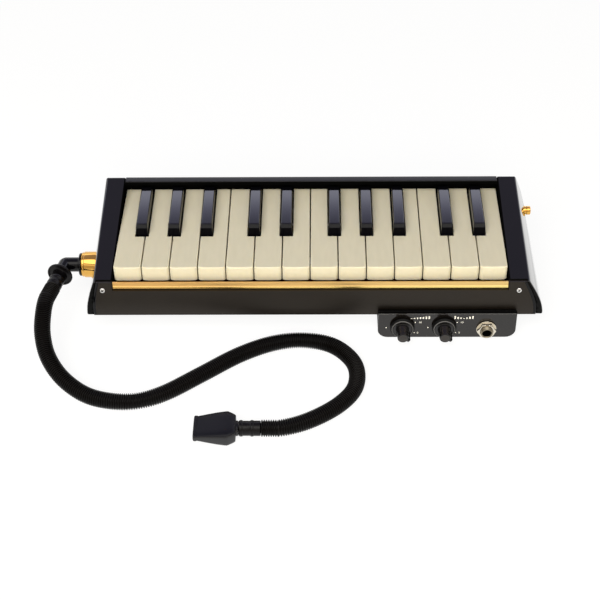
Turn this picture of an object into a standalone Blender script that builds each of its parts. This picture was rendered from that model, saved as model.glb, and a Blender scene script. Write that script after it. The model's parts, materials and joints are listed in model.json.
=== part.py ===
"""A bass melodica with 24 keys, blown through a ribbed hose and fitted with a pickup.

Every piece is its own solid. While it is built, X runs along the keyboard from the
middle of the key row, Y runs back from the front of the white keys, and Z runs up
from the table. At the end everything moves together, so that the origin lies at the
middle of the instrument's footprint on the table.
"""

import math

import bmesh
import bpy
from mathutils import Matrix, Vector

MM = 0.001
GAP = 0.3 * MM
SIDES = 24

# Key row
WHITE_PITCH = 20.0 * MM
WHITE_NOTES = "F2 G2 A2 B2 C3 D3 E3 F3 G3 A3 B3 C4 D4 E4".split()
BLACK_OFFSET = {"F": -2.4 * MM, "G": 1.0 * MM, "A": 4.6 * MM, "C": -0.8 * MM, "D": 2.6 * MM}
KEY_TOP_Z = 52.5 * MM
KEY_SPLIT = 0.8 * MM
WHITE_FRONT_HEIGHT = 12.0 * MM
WHITE_SKIN = 1.8 * MM
WHITE_HEAD_LENGTH = 35.6 * MM
KEY_REAR_Y = 92.6 * MM
KEY_EDGE_ROUND = 0.6 * MM
FIRST_KEY_DRAW = 0.9 * MM
BLACK_BASE_WIDTH = 8.8 * MM
BLACK_TOP_WIDTH = 7.9 * MM
BLACK_HEIGHT = 8.5 * MM
BLACK_SLOPE_HEIGHT = 2.1 * MM
BLACK_SLOPE_LENGTH = 2.4 * MM
BLACK_SLOT = 0.5 * MM
BLACK_FRONT_GAP = 1.1 * MM
BLACK_END_Y = 84.6 * MM
KEY_DIP = 4.5 * MM

# Key action
PIVOT_Y = 60.0 * MM
PIVOT_Z = 43.5 * MM
ROD_RADIUS = 1.5 * MM
ROD_SEAT = 2.0 * MM
HUB_REACH = 4.0 * MM
HUB_DROP = 2.9 * MM
LEVER_Z = 43.0 * MM
TAIL_Z = 42.4 * MM
PAD_Z = 39.0 * MM
PAD_START_Y = 73.5 * MM
PAD_END_Y = 83.5 * MM
RIB_THICKNESS = 2.0 * MM
RIB_REACH = 5.0 * MM
RIB_TOP_Z = 47.3 * MM
RIB_PLAY = 0.7 * MM
SPRING_SHEET = 0.5 * MM
SPRING_FINGER_WIDTH = 4.0 * MM
SPRING_BASE_Y = (25.0 * MM, 33.0 * MM)
SPRING_TIP_Y = 48.0 * MM

# Housing
CHEEK_INNER_X = 140.4 * MM
CHEEK_TOP_X = {-1: 153.8 * MM, 1: 155.1 * MM}
CHEEK_REAR_DRAW = {-1: 0.8 * MM, 1: 1.9 * MM}
CHEEK_LEAN = {-1: 2.2 * MM, 1: 1.3 * MM}
CHEEK_FLARE = {-1: 6.5 * MM, 1: 11.1 * MM}
SHELL_BOTTOM_Z = 18.5 * MM
SHELL_FRONT_Y = -7.4 * MM
SHELL_FRONT_SWELL = 4.6 * MM
SHELL_FRONT_TOP_Z = 45.4 * MM
SHELL_REAR_Y = 91.3 * MM
REAR_FLARE = 9.0 * MM
SHELL_REAR_TOP_Z = 65.0 * MM
SHELL_EDGE_ROUND = 1.2 * MM
PANEL_THICKNESS = 2.2 * MM
PANEL_INSET_TOP = 2.0 * MM
PANEL_INSET_BOTTOM = 5.2 * MM
PANEL_DROP = 0.5 * MM
RAIL_FRONT_Y = 85.0 * MM
RAIL_THICKNESS = 3.5 * MM
REAR_WALL = 1.8 * MM
REAR_LEDGE_Y = 88.5 * MM
REAR_LEDGE_THICKNESS = 2.0 * MM
TRIM_DROP = 0.6 * MM
TRIM_HEIGHT = 5.7 * MM
TRIM_DEPTH = 1.2 * MM
TRIM_RIDGE = 0.4 * MM
BED_Z = (31.5 * MM, 33.8 * MM)
BED_FRONT_WALL = 2.2 * MM
BED_WALL_TOP_Z = 40.2 * MM
BED_FLANGE_Y = 19.0 * MM
BED_REAR_Y = 68.6 * MM
FELT_Y = (2.5 * MM, 11.0 * MM)
FELT_PLAY = 0.4 * MM
LEG_X = 148.5 * MM
LEG_BOTTOM_Z = 9.0 * MM
CASE_X = 151.5 * MM
CASE_FRONT_Y = 9.5 * MM
CASE_WALL = 2.2 * MM
CASE_BOTTOM_Z = 1.5 * MM
CASE_CORNER = 6.0 * MM
FOOT_WIDTH = 9.0 * MM
FOOT_LENGTH = 250.0 * MM
FOOT_INSET = 14.0 * MM

# Wind chamber and reeds
CHAMBER_X = 139.8 * MM
CHAMBER_Y = (22.0 * MM, 86.4 * MM)
CHAMBER_WALL = 2.0 * MM
BLOCK_Z = 27.0 * MM
BLOCK_REAR_Y = 69.2 * MM
CHANNEL_WIDTH = 6.4 * MM
CHANNEL_HEIGHT = 2.8 * MM
VALVE_HOLE_LENGTH = 6.5 * MM
REED_WIDTH = 3.2 * MM
REED_SLOT_PLAY = 0.3 * MM
REED_LONGEST = 44.0 * MM
REED_SHORTEST = 24.0 * MM
REED_THICKNESS = 0.5 * MM
REED_ROOT = 4.0 * MM
REED_END_Y = 78.5 * MM
PLATE_THICKNESS = 1.2 * MM
GASKET_THICKNESS = 0.8 * MM
DUCT_WIDTH = 7.0 * MM
DUCT_DEPTH = 3.0 * MM
DUCT_Z = (12.0 * MM, 20.0 * MM)

# Mouth socket and drain valve
SOCKET_Y = 28.0 * MM
SOCKET_Z = 32.5 * MM
SOCKET_RADIUS = 9.5 * MM
SOCKET_SHANK_RADIUS = 7.0 * MM
SOCKET_BORE_RADIUS = 5.1 * MM
SOCKET_SEAT_X = -155.6 * MM
SOCKET_END_X = -166.8 * MM
SOCKET_LIP = 0.5 * MM
SOCKET_SHANK_LENGTH = 6.0 * MM
DRAIN_Y = 80.0 * MM
DRAIN_Z = 41.0 * MM
DRAIN_HEAD_RADIUS = 3.3 * MM
DRAIN_STEM_RADIUS = 1.3 * MM
DRAIN_END_X = 165.4 * MM
DRAIN_HEAD_LENGTH = 9.0 * MM
DRAIN_TRAVEL = 2.0 * MM
DRAIN_STEM_END_X = 146.6 * MM
DRAIN_SEAT_X = 149.6 * MM
DRAIN_PLAY = 0.4 * MM
COIL_TURNS = 5
COIL_WIRE = 0.5 * MM

# Pickup controls
JACK_X = 126.1 * MM
BOX_X = (48.4 * MM, JACK_X + 21.1 * MM)
BOX_FRONT_Y = -17.0 * MM
BOX_REAR_Y = 9.2 * MM
BOX_BOTTOM_Z = 1.1 * MM
BOX_TOP_Z = 23.8 * MM
BOX_WALL = 1.8 * MM
BOX_CORNER = 7.0 * MM
BOX_PLATE = 2.0 * MM
KNOB_X = {"volume": 65.9 * MM, "balance": 95.8 * MM}
KNOB_Z = 11.6 * MM
KNOB_SKIRT_RADIUS = 8.8 * MM
KNOB_RIM_RADIUS = 7.5 * MM
KNOB_SKIRT_HEIGHT = 2.6 * MM
KNOB_BODY_RADIUS = 4.9 * MM
KNOB_TIP_RADIUS = 3.7 * MM
KNOB_LENGTH = 12.6 * MM
KNOB_STANDOFF = 1.2 * MM
KNOB_POINTER = 125.0
KNOB_RIB_WIDTH = 1.6 * MM
KNOB_RIB_REACH = 6.4 * MM
SHAFT_RADIUS = 2.0 * MM
SHAFT_LENGTH = 19.0 * MM
SHAFT_OUT = 10.5 * MM
POT_RADIUS = 4.7 * MM
POT_DEPTH = 8.0 * MM
BUSH_RADIUS = 3.1 * MM
BUSH_OUT = 0.9 * MM
JACK_Z = 9.5 * MM
JACK_BARREL_RADIUS = 4.5 * MM
JACK_BODY_RADIUS = 5.2 * MM
JACK_BORE_RADIUS = 3.2 * MM
JACK_OUT = 6.0 * MM
JACK_DEPTH = 20.0 * MM
NUT_ACROSS = 11.9 * MM
NUT_HEIGHT = 3.6 * MM
NUT_TURN = 0.0
WASHER_RADIUS = 7.1 * MM
WASHER_THICKNESS = 0.8 * MM
BOARD_THICKNESS = 1.6 * MM

# Hose
HOSE_RADIUS = 5.9 * MM
HOSE_VALLEY_RADIUS = 5.3 * MM
HOSE_BORE_RADIUS = 4.0 * MM
HOSE_RIBS = 130
HOSE_REST_Z = 6.0 * MM
ELBOW_RADIUS = 5.3 * MM
ELBOW_BORE_RADIUS = 3.0 * MM
ELBOW_CORNER_X = -179.3 * MM
ELBOW_MITRE = 0.6 * MM
ELBOW_SPIGOT_RADIUS = 4.7 * MM
ELBOW_SPIGOT_LENGTH = 7.6 * MM
ELBOW_FLANGE_RADIUS = 8.4 * MM
ELBOW_FLANGE_THICKNESS = 1.6 * MM
ELBOW_LEG = 10.1 * MM
ELBOW_PLUG_RADIUS = 3.7 * MM
ELBOW_PLUG_LENGTH = 8.0 * MM
LEG_TURN = math.radians(77.0)
CUFF_RING_RADIUS = 9.4 * MM
CUFF_RING_THICKNESS = 2.2 * MM
CUFF_RADIUS = 5.6 * MM
CUFF_GROOVE = 0.4 * MM
CUFF_LENGTH = 15.8 * MM
MOUTH_CUFF_LENGTH = 14.8 * MM
MOUTH_CUFF_RADIUS = 5.6 * MM
MOUTH_CUFF_RING = 0.5 * MM
MOUTHPIECE_LENGTH = 30.0 * MM
MOUTHPIECE_WIDTH = 25.0 * MM
MOUTHPIECE_HEIGHT = 11.6 * MM
MOUTHPIECE_TIP_WIDTH = 19.0 * MM
MOUTHPIECE_TIP_HEIGHT = 5.0 * MM
MOUTHPIECE_BORE_RADIUS = 2.2 * MM
MOUTH_X = -32.7 * MM
MOUTH_Y = -112.2 * MM

# Points along the middle of the hose, between its straight ends
HOSE_ROUTE = [
    (-189.2 * MM, -22.0 * MM, 28.6 * MM),
    (-188.0 * MM, -38.0 * MM, 23.2 * MM),
    (-182.6 * MM, -54.0 * MM, 16.4 * MM),
    (-171.0 * MM, -69.0 * MM, 10.4 * MM),
    (-154.0 * MM, -81.0 * MM, 6.6 * MM),
    (-135.0 * MM, -86.6 * MM, 5.8 * MM),
    (-117.0 * MM, -86.0 * MM, 5.8 * MM),
    (-99.0 * MM, -78.0 * MM, 5.8 * MM),
    (-76.0 * MM, -60.5 * MM, 5.8 * MM),
    (-50.0 * MM, -40.5 * MM, 5.8 * MM),
    (-26.0 * MM, -28.5 * MM, 5.8 * MM),
    (-4.0 * MM, -25.5 * MM, 5.8 * MM),
    (17.0 * MM, -32.0 * MM, 5.8 * MM),
    (31.0 * MM, -50.0 * MM, 5.8 * MM),
    (31.5 * MM, -72.0 * MM, 5.8 * MM),
    (20.0 * MM, -90.0 * MM, 5.8 * MM),
    (-0.5 * MM, -105.0 * MM, 5.8 * MM),
]

BLACK_PLASTIC = ("moulded black ABS", (0.018, 0.017, 0.021), 0.42, 0.0)
BLACK_GLOSS = ("polished black plastic", (0.012, 0.012, 0.016), 0.25, 0.0)
IVORY = ("ivory key plastic", (0.69, 0.62, 0.50), 0.35, 0.0)
BRASS = ("polished brass", (0.80, 0.50, 0.14), 0.20, 1.0)
STEEL = ("bright steel", (0.60, 0.59, 0.57), 0.28, 1.0)
NICKEL = ("nickel plate", (0.66, 0.63, 0.57), 0.22, 1.0)
FELT = ("red felt", (0.25, 0.03, 0.03), 0.95, 0.0)
RUBBER = ("black rubber", (0.02, 0.02, 0.02), 0.70, 0.0)
GREY_PLASTIC = ("grey moulded plastic", (0.20, 0.20, 0.21), 0.50, 0.0)
SATIN_PANEL = ("satin dark grey panel", (0.045, 0.042, 0.038), 0.45, 0.1)
BOARD_GREEN = ("circuit board", (0.03, 0.16, 0.07), 0.50, 0.0)


def collection(name, hidden=False):
    made = bpy.data.collections.new(name)
    bpy.context.scene.collection.children.link(made)
    made.hide_render = hidden
    return made


def finish(described):
    name, colour, roughness, metallic = described
    known = bpy.data.materials.get(name)
    if known:
        return known
    made = bpy.data.materials.new(name)
    made.use_nodes = True
    shader = made.node_tree.nodes["Principled BSDF"]
    shader.inputs["Base Color"].default_value = (*colour, 1.0)
    shader.inputs["Roughness"].default_value = roughness
    shader.inputs["Metallic"].default_value = metallic
    return made


def solid(name, shape, look=None, pivot=(0.0, 0.0, 0.0)):
    """Turn a bmesh into an object whose origin is the pivot; without a look it is a cutter."""
    bmesh.ops.recalc_face_normals(shape, faces=shape.faces)
    bmesh.ops.translate(shape, verts=shape.verts, vec=-Vector(pivot))
    mesh = bpy.data.meshes.new(name)
    shape.to_mesh(mesh)
    shape.free()
    made = bpy.data.objects.new(name, mesh)
    made.location = pivot
    if look is None:
        CUTTERS.objects.link(made)
        made.hide_render = True
        made.display_type = "WIRE"
    else:
        own = finish(look).copy()
        own.name = name
        mesh.materials.append(own)
        PARTS.objects.link(made)
    return made


def cut(piece, cutter, operation="DIFFERENCE"):
    step = piece.modifiers.new("Cut", "BOOLEAN")
    step.operation = operation
    step.solver = "EXACT"
    step.object = cutter
    return piece


def round_edges(piece, width, segments=2, angle=50.0):
    step = piece.modifiers.new("Round", "BEVEL")
    step.width = width
    step.segments = segments
    step.limit_method = "ANGLE"
    step.angle_limit = math.radians(angle)
    return piece


def smooth(piece):
    piece.data.shade_smooth()
    piece.data.set_sharp_from_angle(angle=math.radians(35.0))
    return piece


def add_box(shape, low, high):
    size = [b - a for a, b in zip(low, high)]
    middle = [(a + b) / 2.0 for a, b in zip(low, high)]
    place = Matrix.Translation(middle) @ Matrix.Diagonal((*size, 1.0))
    bmesh.ops.create_cube(shape, size=1.0, matrix=place)


def add_round(shape, centre, axis, radius, start, end, sides=SIDES, tip_radius=None):
    """Add a cylinder or cone along X, Y or Z, from start to end on that axis."""
    turn = {"X": Matrix.Rotation(math.pi / 2, 4, "Y"),
            "Y": Matrix.Rotation(-math.pi / 2, 4, "X"),
            "Z": Matrix.Identity(4)}[axis]
    middle = Vector(centre)
    middle["XYZ".index(axis)] = (start + end) / 2.0
    tip = radius if tip_radius is None else tip_radius
    bmesh.ops.create_cone(shape, cap_ends=True, segments=sides, radius1=radius, radius2=tip,
                          depth=abs(end - start), matrix=Matrix.Translation(middle) @ turn)


def add_prism(shape, outline, axis, start, end):
    """Extrude a flat outline along X, with (y, z) points, along Y (x, z) or along Z (x, y)."""
    place = {"X": lambda a, b: (start, a, b),
             "Y": lambda a, b: (a, start, b),
             "Z": lambda a, b: (a, b, start)}[axis]
    corners = [shape.verts.new(place(a, b)) for a, b in outline]
    face = shape.faces.new(corners)
    grown = bmesh.ops.extrude_face_region(shape, geom=[face])
    moved = [item for item in grown["geom"] if isinstance(item, bmesh.types.BMVert)]
    step = Vector((0.0, 0.0, 0.0))
    step["XYZ".index(axis)] = end - start
    bmesh.ops.translate(shape, verts=moved, vec=step)


def box_solid(name, low, high, look=None):
    shape = bmesh.new()
    add_box(shape, low, high)
    return solid(name, shape, look)


def mapped_box(shape, cells, place):
    """Mesh the six sides of a unit cube in cells, and move each point to place(u, v, w)."""
    made = {}

    def corner(index):
        if index not in made:
            share = [i / n for i, n in zip(index, cells)]
            made[index] = shape.verts.new(place(*share))
        return made[index]

    for axis in range(3):
        a, b = [other for other in range(3) if other != axis]
        for side in (0, cells[axis]):
            for i in range(cells[a]):
                for j in range(cells[b]):
                    ring = []
                    for da, db in ((0, 0), (1, 0), (1, 1), (0, 1)):
                        index = [0, 0, 0]
                        index[axis] = side
                        index[a] = i + da
                        index[b] = j + db
                        ring.append(corner(tuple(index)))
                    shape.faces.new(ring)


def turned(name, profile, axis_point, direction, look, bore=None):
    """Turn a profile of (radius, distance) pairs about a line through axis_point."""
    mesh = bpy.data.meshes.new(name)
    shape = bmesh.new()
    points = [(0.0, profile[0][1])] + list(profile) + [(0.0, profile[-1][1])]
    if bore:
        points = [(bore, profile[0][1])] + list(profile) + [(bore, profile[-1][1])]
        points.append(points[0])
    top_first = [(radius, 0.0, height) for radius, height in reversed(points)]
    row = [shape.verts.new(point) for point in top_first[:-1 if bore else None]]
    for first, second in zip(row, row[1:] + (row[:1] if bore else [])):
        shape.edges.new((first, second))
    shape.to_mesh(mesh)
    shape.free()
    made = bpy.data.objects.new(name, mesh)
    PARTS.objects.link(made)
    screw = made.modifiers.new("Turn", "SCREW")
    screw.steps = SIDES
    screw.render_steps = SIDES
    screw.use_merge_vertices = True
    screw.merge_threshold = 0.00001
    screw.use_normal_calculate = False
    own = finish(look).copy()
    own.name = name
    mesh.materials.append(own)
    made.rotation_mode = "QUATERNION"
    made.rotation_quaternion = Vector((0.0, 0.0, 1.0)).rotation_difference(Vector(direction))
    made.location = axis_point
    return smooth(made)


def pipe(name, points, radii, look=None, sides_resolution=2):
    """A closed mesh tube along points, made from a poly curve with its caps welded."""
    curve = bpy.data.curves.new(name, "CURVE")
    curve.dimensions = "3D"
    curve.bevel_depth = 1.0
    curve.bevel_resolution = sides_resolution
    curve.use_fill_caps = True
    line = curve.splines.new("POLY")
    line.points.add(len(points) - 1)
    for point, place, radius in zip(line.points, points, radii):
        point.co = (*place, 1.0)
        point.radius = radius
    holder = bpy.data.objects.new(name + " line", curve)
    bpy.context.scene.collection.objects.link(holder)
    seen = holder.evaluated_get(bpy.context.evaluated_depsgraph_get())
    mesh = bpy.data.meshes.new_from_object(seen)
    shape = bmesh.new()
    shape.from_mesh(mesh)
    bmesh.ops.remove_doubles(shape, verts=shape.verts, dist=0.000001)
    bpy.data.objects.remove(holder, do_unlink=True)
    return solid(name, shape, look)


def smooth_route(points, start_way, end_way, step):
    """Points along a Catmull-Rom curve through the given points, about step apart."""
    knots = [Vector(point) for point in points]
    knots = [knots[0] - start_way] + knots + [knots[-1] + end_way]
    line = []
    for a, b, c, d in zip(knots, knots[1:], knots[2:], knots[3:]):
        for i in range(24):
            t = i / 24.0
            line.append(0.5 * (2.0 * b + (c - a) * t + (2.0 * a - 5.0 * b + 4.0 * c - d) * t * t
                               + (3.0 * b - 3.0 * c + d - a) * t * t * t))
    line.append(knots[-2])
    run = [0.0]
    for first, second in zip(line, line[1:]):
        run.append(run[-1] + (second - first).length)
    count = max(2, round(run[-1] / step))
    even = []
    at = 0
    for i in range(count + 1):
        want = run[-1] * i / count
        while at < len(run) - 2 and run[at + 1] < want:
            at += 1
        share = (want - run[at]) / (run[at + 1] - run[at])
        even.append(line[at].lerp(line[at + 1], share))
    return even, run[-1]


def white_left(index):
    return (index - len(WHITE_NOTES) / 2.0) * WHITE_PITCH


def black_centres():
    """Middle of each black key: the line between its two white keys, plus its own offset."""
    found = {}
    for index, note in enumerate(WHITE_NOTES[:-1]):
        if note[0] in BLACK_OFFSET:
            found[note[0] + "s" + note[1]] = white_left(index + 1) + BLACK_OFFSET[note[0]]
    return found


def stem_sides(index, blacks):
    """Left and right side of a white key behind its head, clear of the black keys."""
    left = white_left(index) + KEY_SPLIT / 2.0
    right = white_left(index + 1) - KEY_SPLIT / 2.0
    reach = BLACK_BASE_WIDTH / 2.0 + BLACK_SLOT
    for x in blacks.values():
        if abs(x - left) < WHITE_PITCH / 2.0:
            left = max(left, x + reach)
        if abs(x - right) < WHITE_PITCH / 2.0:
            right = min(right, x - reach)
    return left, right


def tail_centres(blacks):
    """Middle of each key's tail, which its spring, valve and reed line up with."""
    found = dict(blacks)
    for index, note in enumerate(WHITE_NOTES):
        found[note] = sum(stem_sides(index, blacks)) / 2.0
    return found


def lever_underside():
    """Underside of a key from its front end to its rear end, as (y, z) points."""
    hub_bottom = PIVOT_Z - HUB_DROP
    return [
        (WHITE_HEAD_LENGTH + 2.5 * MM, LEVER_Z),
        (PIVOT_Y - HUB_REACH - 3.0 * MM, LEVER_Z),
        (PIVOT_Y - HUB_REACH, hub_bottom),
        (PIVOT_Y + HUB_REACH, hub_bottom),
        (PIVOT_Y + HUB_REACH + 3.0 * MM, TAIL_Z),
        (PAD_START_Y, TAIL_Z),
        (PAD_START_Y, PAD_Z),
        (PAD_END_Y, PAD_Z),
        (PAD_END_Y, TAIL_Z),
    ]


def key_hollow(name, head=None):
    """Everything taken out of a key: the rod's hole, the hollow head, room for the ribs."""
    shape = bmesh.new()
    reach = len(WHITE_NOTES) * WHITE_PITCH
    add_round(shape, (0.0, PIVOT_Y, PIVOT_Z), "X", ROD_RADIUS + GAP, -reach, reach, 12)
    if head:
        left, right = head
        low = KEY_TOP_Z - WHITE_FRONT_HEIGHT - WHITE_SKIN
        add_box(shape, (left + WHITE_SKIN, WHITE_SKIN, low),
                (right - WHITE_SKIN, WHITE_HEAD_LENGTH - WHITE_SKIN, KEY_TOP_Z - WHITE_SKIN))
    return solid(name + "_hollow", shape)


def white_key(index, blacks):
    note = WHITE_NOTES[index]
    left = white_left(index) + KEY_SPLIT / 2.0
    right = white_left(index + 1) - KEY_SPLIT / 2.0
    stem_left, stem_right = stem_sides(index, blacks)
    rib_room = RIB_THICKNESS / 2.0 + RIB_PLAY
    outline = [(left, 0.0), (right, 0.0), (right, WHITE_HEAD_LENGTH)]
    if stem_right < right:
        outline.append((stem_right, WHITE_HEAD_LENGTH))
    outline.append((stem_right, KEY_REAR_Y))
    draw = 0.0 if index else FIRST_KEY_DRAW
    outline.append((stem_left + draw, KEY_REAR_Y))
    if stem_left > left:
        outline.append((stem_left, WHITE_HEAD_LENGTH))
    outline.append((left + draw * WHITE_HEAD_LENGTH / KEY_REAR_Y, WHITE_HEAD_LENGTH))
    low = PAD_Z - 2.0 * MM
    shape = bmesh.new()
    add_prism(shape, outline, "Z", low, KEY_TOP_Z)
    top = [edge for edge in shape.edges
           if all(abs(v.co.z - KEY_TOP_Z) < 1e-6 for v in edge.verts)]
    bmesh.ops.bevel(shape, geom=top, offset=KEY_EDGE_ROUND, segments=2, profile=0.5,
                    affect="EDGES", clamp_overlap=True)
    piece = solid("white_key_" + note, shape, IVORY, (0.0, PIVOT_Y, PIVOT_Z))
    front_z = KEY_TOP_Z - WHITE_FRONT_HEIGHT
    side = [(-1.0 * MM, front_z), (WHITE_HEAD_LENGTH + 0.9 * MM, front_z)]
    side += lever_underside()
    side += [(KEY_REAR_Y + MM, TAIL_Z), (KEY_REAR_Y + MM, KEY_TOP_Z + MM), (-MM, KEY_TOP_Z + MM)]
    shape = bmesh.new()
    add_prism(shape, side, "X", left - MM, right + MM)
    cut(piece, solid(piece.name + "_side", shape), "INTERSECT")
    cut(piece, key_hollow(piece.name, (left, right)))
    for edge in rib_lines():
        if abs(edge - white_left(index)) < MM or abs(edge - white_left(index + 1)) < MM:
            room = box_solid(piece.name + "_rib_room",
                             (edge - rib_room, PIVOT_Y - RIB_REACH - 2.0 * MM, low - MM),
                             (edge + rib_room, PIVOT_Y + RIB_REACH + 2.0 * MM,
                              RIB_TOP_Z + 1.2 * MM))
            cut(piece, room)
    return piece


def black_key(note, centre):
    top_z = KEY_TOP_Z + BLACK_HEIGHT
    front = WHITE_HEAD_LENGTH + BLACK_FRONT_GAP
    shoulder_y = front + 0.5 * MM
    shoulder_z = top_z - BLACK_SLOPE_HEIGHT
    waist_z = KEY_TOP_Z
    side = [(front, LEVER_Z + 3.0 * MM)] + lever_underside()
    side += [(KEY_REAR_Y, TAIL_Z), (KEY_REAR_Y, waist_z), (BLACK_END_Y + 0.2 * MM, waist_z),
             (BLACK_END_Y, top_z), (shoulder_y + BLACK_SLOPE_LENGTH, top_z),
             (shoulder_y, shoulder_z), (front, waist_z)]
    half = BLACK_BASE_WIDTH / 2.0
    shape = bmesh.new()
    add_prism(shape, side, "X", centre - half, centre + half)
    for vert in shape.verts:
        rise = (vert.co.z - KEY_TOP_Z) / BLACK_HEIGHT
        if rise > 0.0:
            share = 1.0 - rise * (1.0 - BLACK_TOP_WIDTH / BLACK_BASE_WIDTH)
            vert.co.x = centre + (vert.co.x - centre) * share
    high = [edge for edge in shape.edges
            if all(v.co.z > shoulder_z - MM for v in edge.verts)]
    bmesh.ops.bevel(shape, geom=high, offset=0.5 * MM, segments=1, profile=0.5,
                    affect="EDGES", clamp_overlap=True)
    piece = solid("black_key_" + note, shape, BLACK_GLOSS, (0.0, PIVOT_Y, PIVOT_Z))
    return cut(piece, key_hollow(piece.name))


def rib_lines():
    """Places of the pivot ribs: where two white keys meet with no black key between."""
    return [white_left(i + 1) for i, note in enumerate(WHITE_NOTES[:-1]) if note[0] in "BE"]


def shell_top(y):
    share = (y - SHELL_FRONT_Y) / (SHELL_REAR_Y - SHELL_FRONT_Y)
    return SHELL_FRONT_TOP_Z + share * (SHELL_REAR_TOP_Z - SHELL_FRONT_TOP_Z)


def swell(v):
    return math.sin(v * math.pi / 2.0)


def rear_face(z):
    """How far back the rear wall stands at a height: it flares out towards the bottom."""
    return SHELL_REAR_Y + REAR_FLARE * swell((SHELL_REAR_TOP_Z - z)
                                             / (SHELL_REAR_TOP_Z - SHELL_BOTTOM_Z))


def shell_point(side):
    """Place function for one end of the shell: u outwards, v down, w back.

    Its inner face leans in over the top eighth, more and more towards the rear."""

    def place(u, v, w):
        outer = CHEEK_TOP_X[side] - CHEEK_REAR_DRAW[side] * w + CHEEK_FLARE[side] * swell(v)
        inner = CHEEK_INNER_X - CHEEK_LEAN[side] * w * max(0.0, 1.0 - 8.0 * v)
        x = inner + (outer - inner) * u
        front = SHELL_FRONT_Y - SHELL_FRONT_SWELL * swell(v)
        rear = SHELL_REAR_Y + REAR_FLARE * swell(v)
        top = shell_top(SHELL_FRONT_Y + (SHELL_REAR_Y - SHELL_FRONT_Y) * w)
        return (side * x, front + (rear - front) * w, top + (SHELL_BOTTOM_Z - top) * v)

    return place


def panel_block(shape, extra):
    """The front panel's own space, or with extra the room cut for it in the cheeks."""
    top = SHELL_FRONT_TOP_Z - PANEL_DROP + 12.0 * extra
    bottom = SHELL_BOTTOM_Z - 6.0 * extra

    def place(u, v, w):
        z = top + (bottom - top) * v
        share = (SHELL_FRONT_TOP_Z - z) / (SHELL_FRONT_TOP_Z - SHELL_BOTTOM_Z)
        share = min(1.0, max(0.0, share))
        ends = []
        for side in (-1, 1):
            outer = CHEEK_TOP_X[side] + CHEEK_FLARE[side] * swell(share)
            outer -= PANEL_INSET_TOP + (PANEL_INSET_BOTTOM - PANEL_INSET_TOP) * share
            ends.append(side * (outer + extra))
        face = SHELL_FRONT_Y - SHELL_FRONT_SWELL * swell(share)
        front = face - 6.0 * extra
        rear = face + PANEL_THICKNESS + extra
        return (ends[0] + (ends[1] - ends[0]) * u, front + (rear - front) * w, z)

    mapped_box(shape, (2, 8, 1), place)


def cheek(side):
    name = "left_cheek" if side < 0 else "right_cheek"
    shape = bmesh.new()
    mapped_box(shape, (1, 8, 1), shell_point(side))
    piece = round_edges(solid(name, shape, BLACK_PLASTIC), SHELL_EDGE_ROUND, 2, 35.0)
    centre_y = SOCKET_Y if side < 0 else DRAIN_Y
    leg = [side * CHEEK_INNER_X, side * LEG_X]
    half = DUCT_WIDTH / 2.0 + 3.0 * MM
    rear = min(centre_y + half, CHAMBER_Y[1])
    leg_solid = box_solid(name + "_leg", (min(leg), centre_y - half, LEG_BOTTOM_Z),
                          (max(leg), rear, SHELL_BOTTOM_Z + 2.0 * MM))
    cut(piece, leg_solid, "UNION")
    shape = bmesh.new()
    panel_block(shape, GAP)
    cut(piece, solid(name + "_panel_room", shape))
    shape = bmesh.new()
    seat = side * CHEEK_INNER_X
    add_round(shape, (0.0, PIVOT_Y, PIVOT_Z), "X", ROD_RADIUS + GAP,
              seat - side * MM, seat + side * (ROD_SEAT + GAP), 12)
    cut(piece, solid(name + "_rod_seat", shape))
    return piece


def bore_left_cheek(piece):
    shape = bmesh.new()
    spot = (0.0, SOCKET_Y, SOCKET_Z)
    add_round(shape, spot, "X", SOCKET_RADIUS + GAP, SOCKET_SEAT_X + GAP, SOCKET_END_X)
    cut(piece, solid("socket_counterbore", shape))
    shape = bmesh.new()
    shank_end = SOCKET_SEAT_X + SOCKET_SHANK_LENGTH
    add_round(shape, spot, "X", SOCKET_SHANK_RADIUS + GAP, shank_end + GAP, SOCKET_SEAT_X - MM)
    cut(piece, solid("socket_bore", shape))
    duct_x = -(CHEEK_INNER_X + 2.0 * MM)
    cut(piece, box_solid("wind_duct",
                         (shank_end - MM, SOCKET_Y - DUCT_WIDTH / 2.0, DUCT_Z[0]),
                         (duct_x, SOCKET_Y + DUCT_WIDTH / 2.0, SOCKET_Z)))
    cut(piece, box_solid("wind_port",
                         (duct_x - MM, SOCKET_Y - DUCT_WIDTH / 2.0, DUCT_Z[0]),
                         (-CHEEK_INNER_X + MM, SOCKET_Y + DUCT_WIDTH / 2.0, DUCT_Z[1])))
    return piece


def bore_right_cheek(piece):
    spot = (0.0, DRAIN_Y, DRAIN_Z)
    shape = bmesh.new()
    add_round(shape, spot, "X", DRAIN_HEAD_RADIUS + DRAIN_PLAY, DRAIN_SEAT_X,
              DRAIN_END_X + MM)
    cut(piece, solid("drain_bore", shape))
    shape = bmesh.new()
    stem_room = DRAIN_STEM_END_X - DRAIN_TRAVEL - MM
    add_round(shape, spot, "X", DRAIN_STEM_RADIUS + DRAIN_PLAY, stem_room, DRAIN_SEAT_X + MM, 12)
    cut(piece, solid("drain_stem_room", shape))
    duct_x = CHEEK_INNER_X + 2.0 * MM
    half = DUCT_WIDTH / 2.0 - MM
    cut(piece, box_solid("drain_duct", (duct_x, DRAIN_Y - half, DUCT_Z[0]),
                         (duct_x + DUCT_DEPTH, DRAIN_Y + half, DRAIN_Z)))
    cut(piece, box_solid("drain_port", (CHEEK_INNER_X - MM, DRAIN_Y - half, DUCT_Z[0]),
                         (duct_x + MM, DRAIN_Y + half, DUCT_Z[1])))
    return piece


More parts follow.
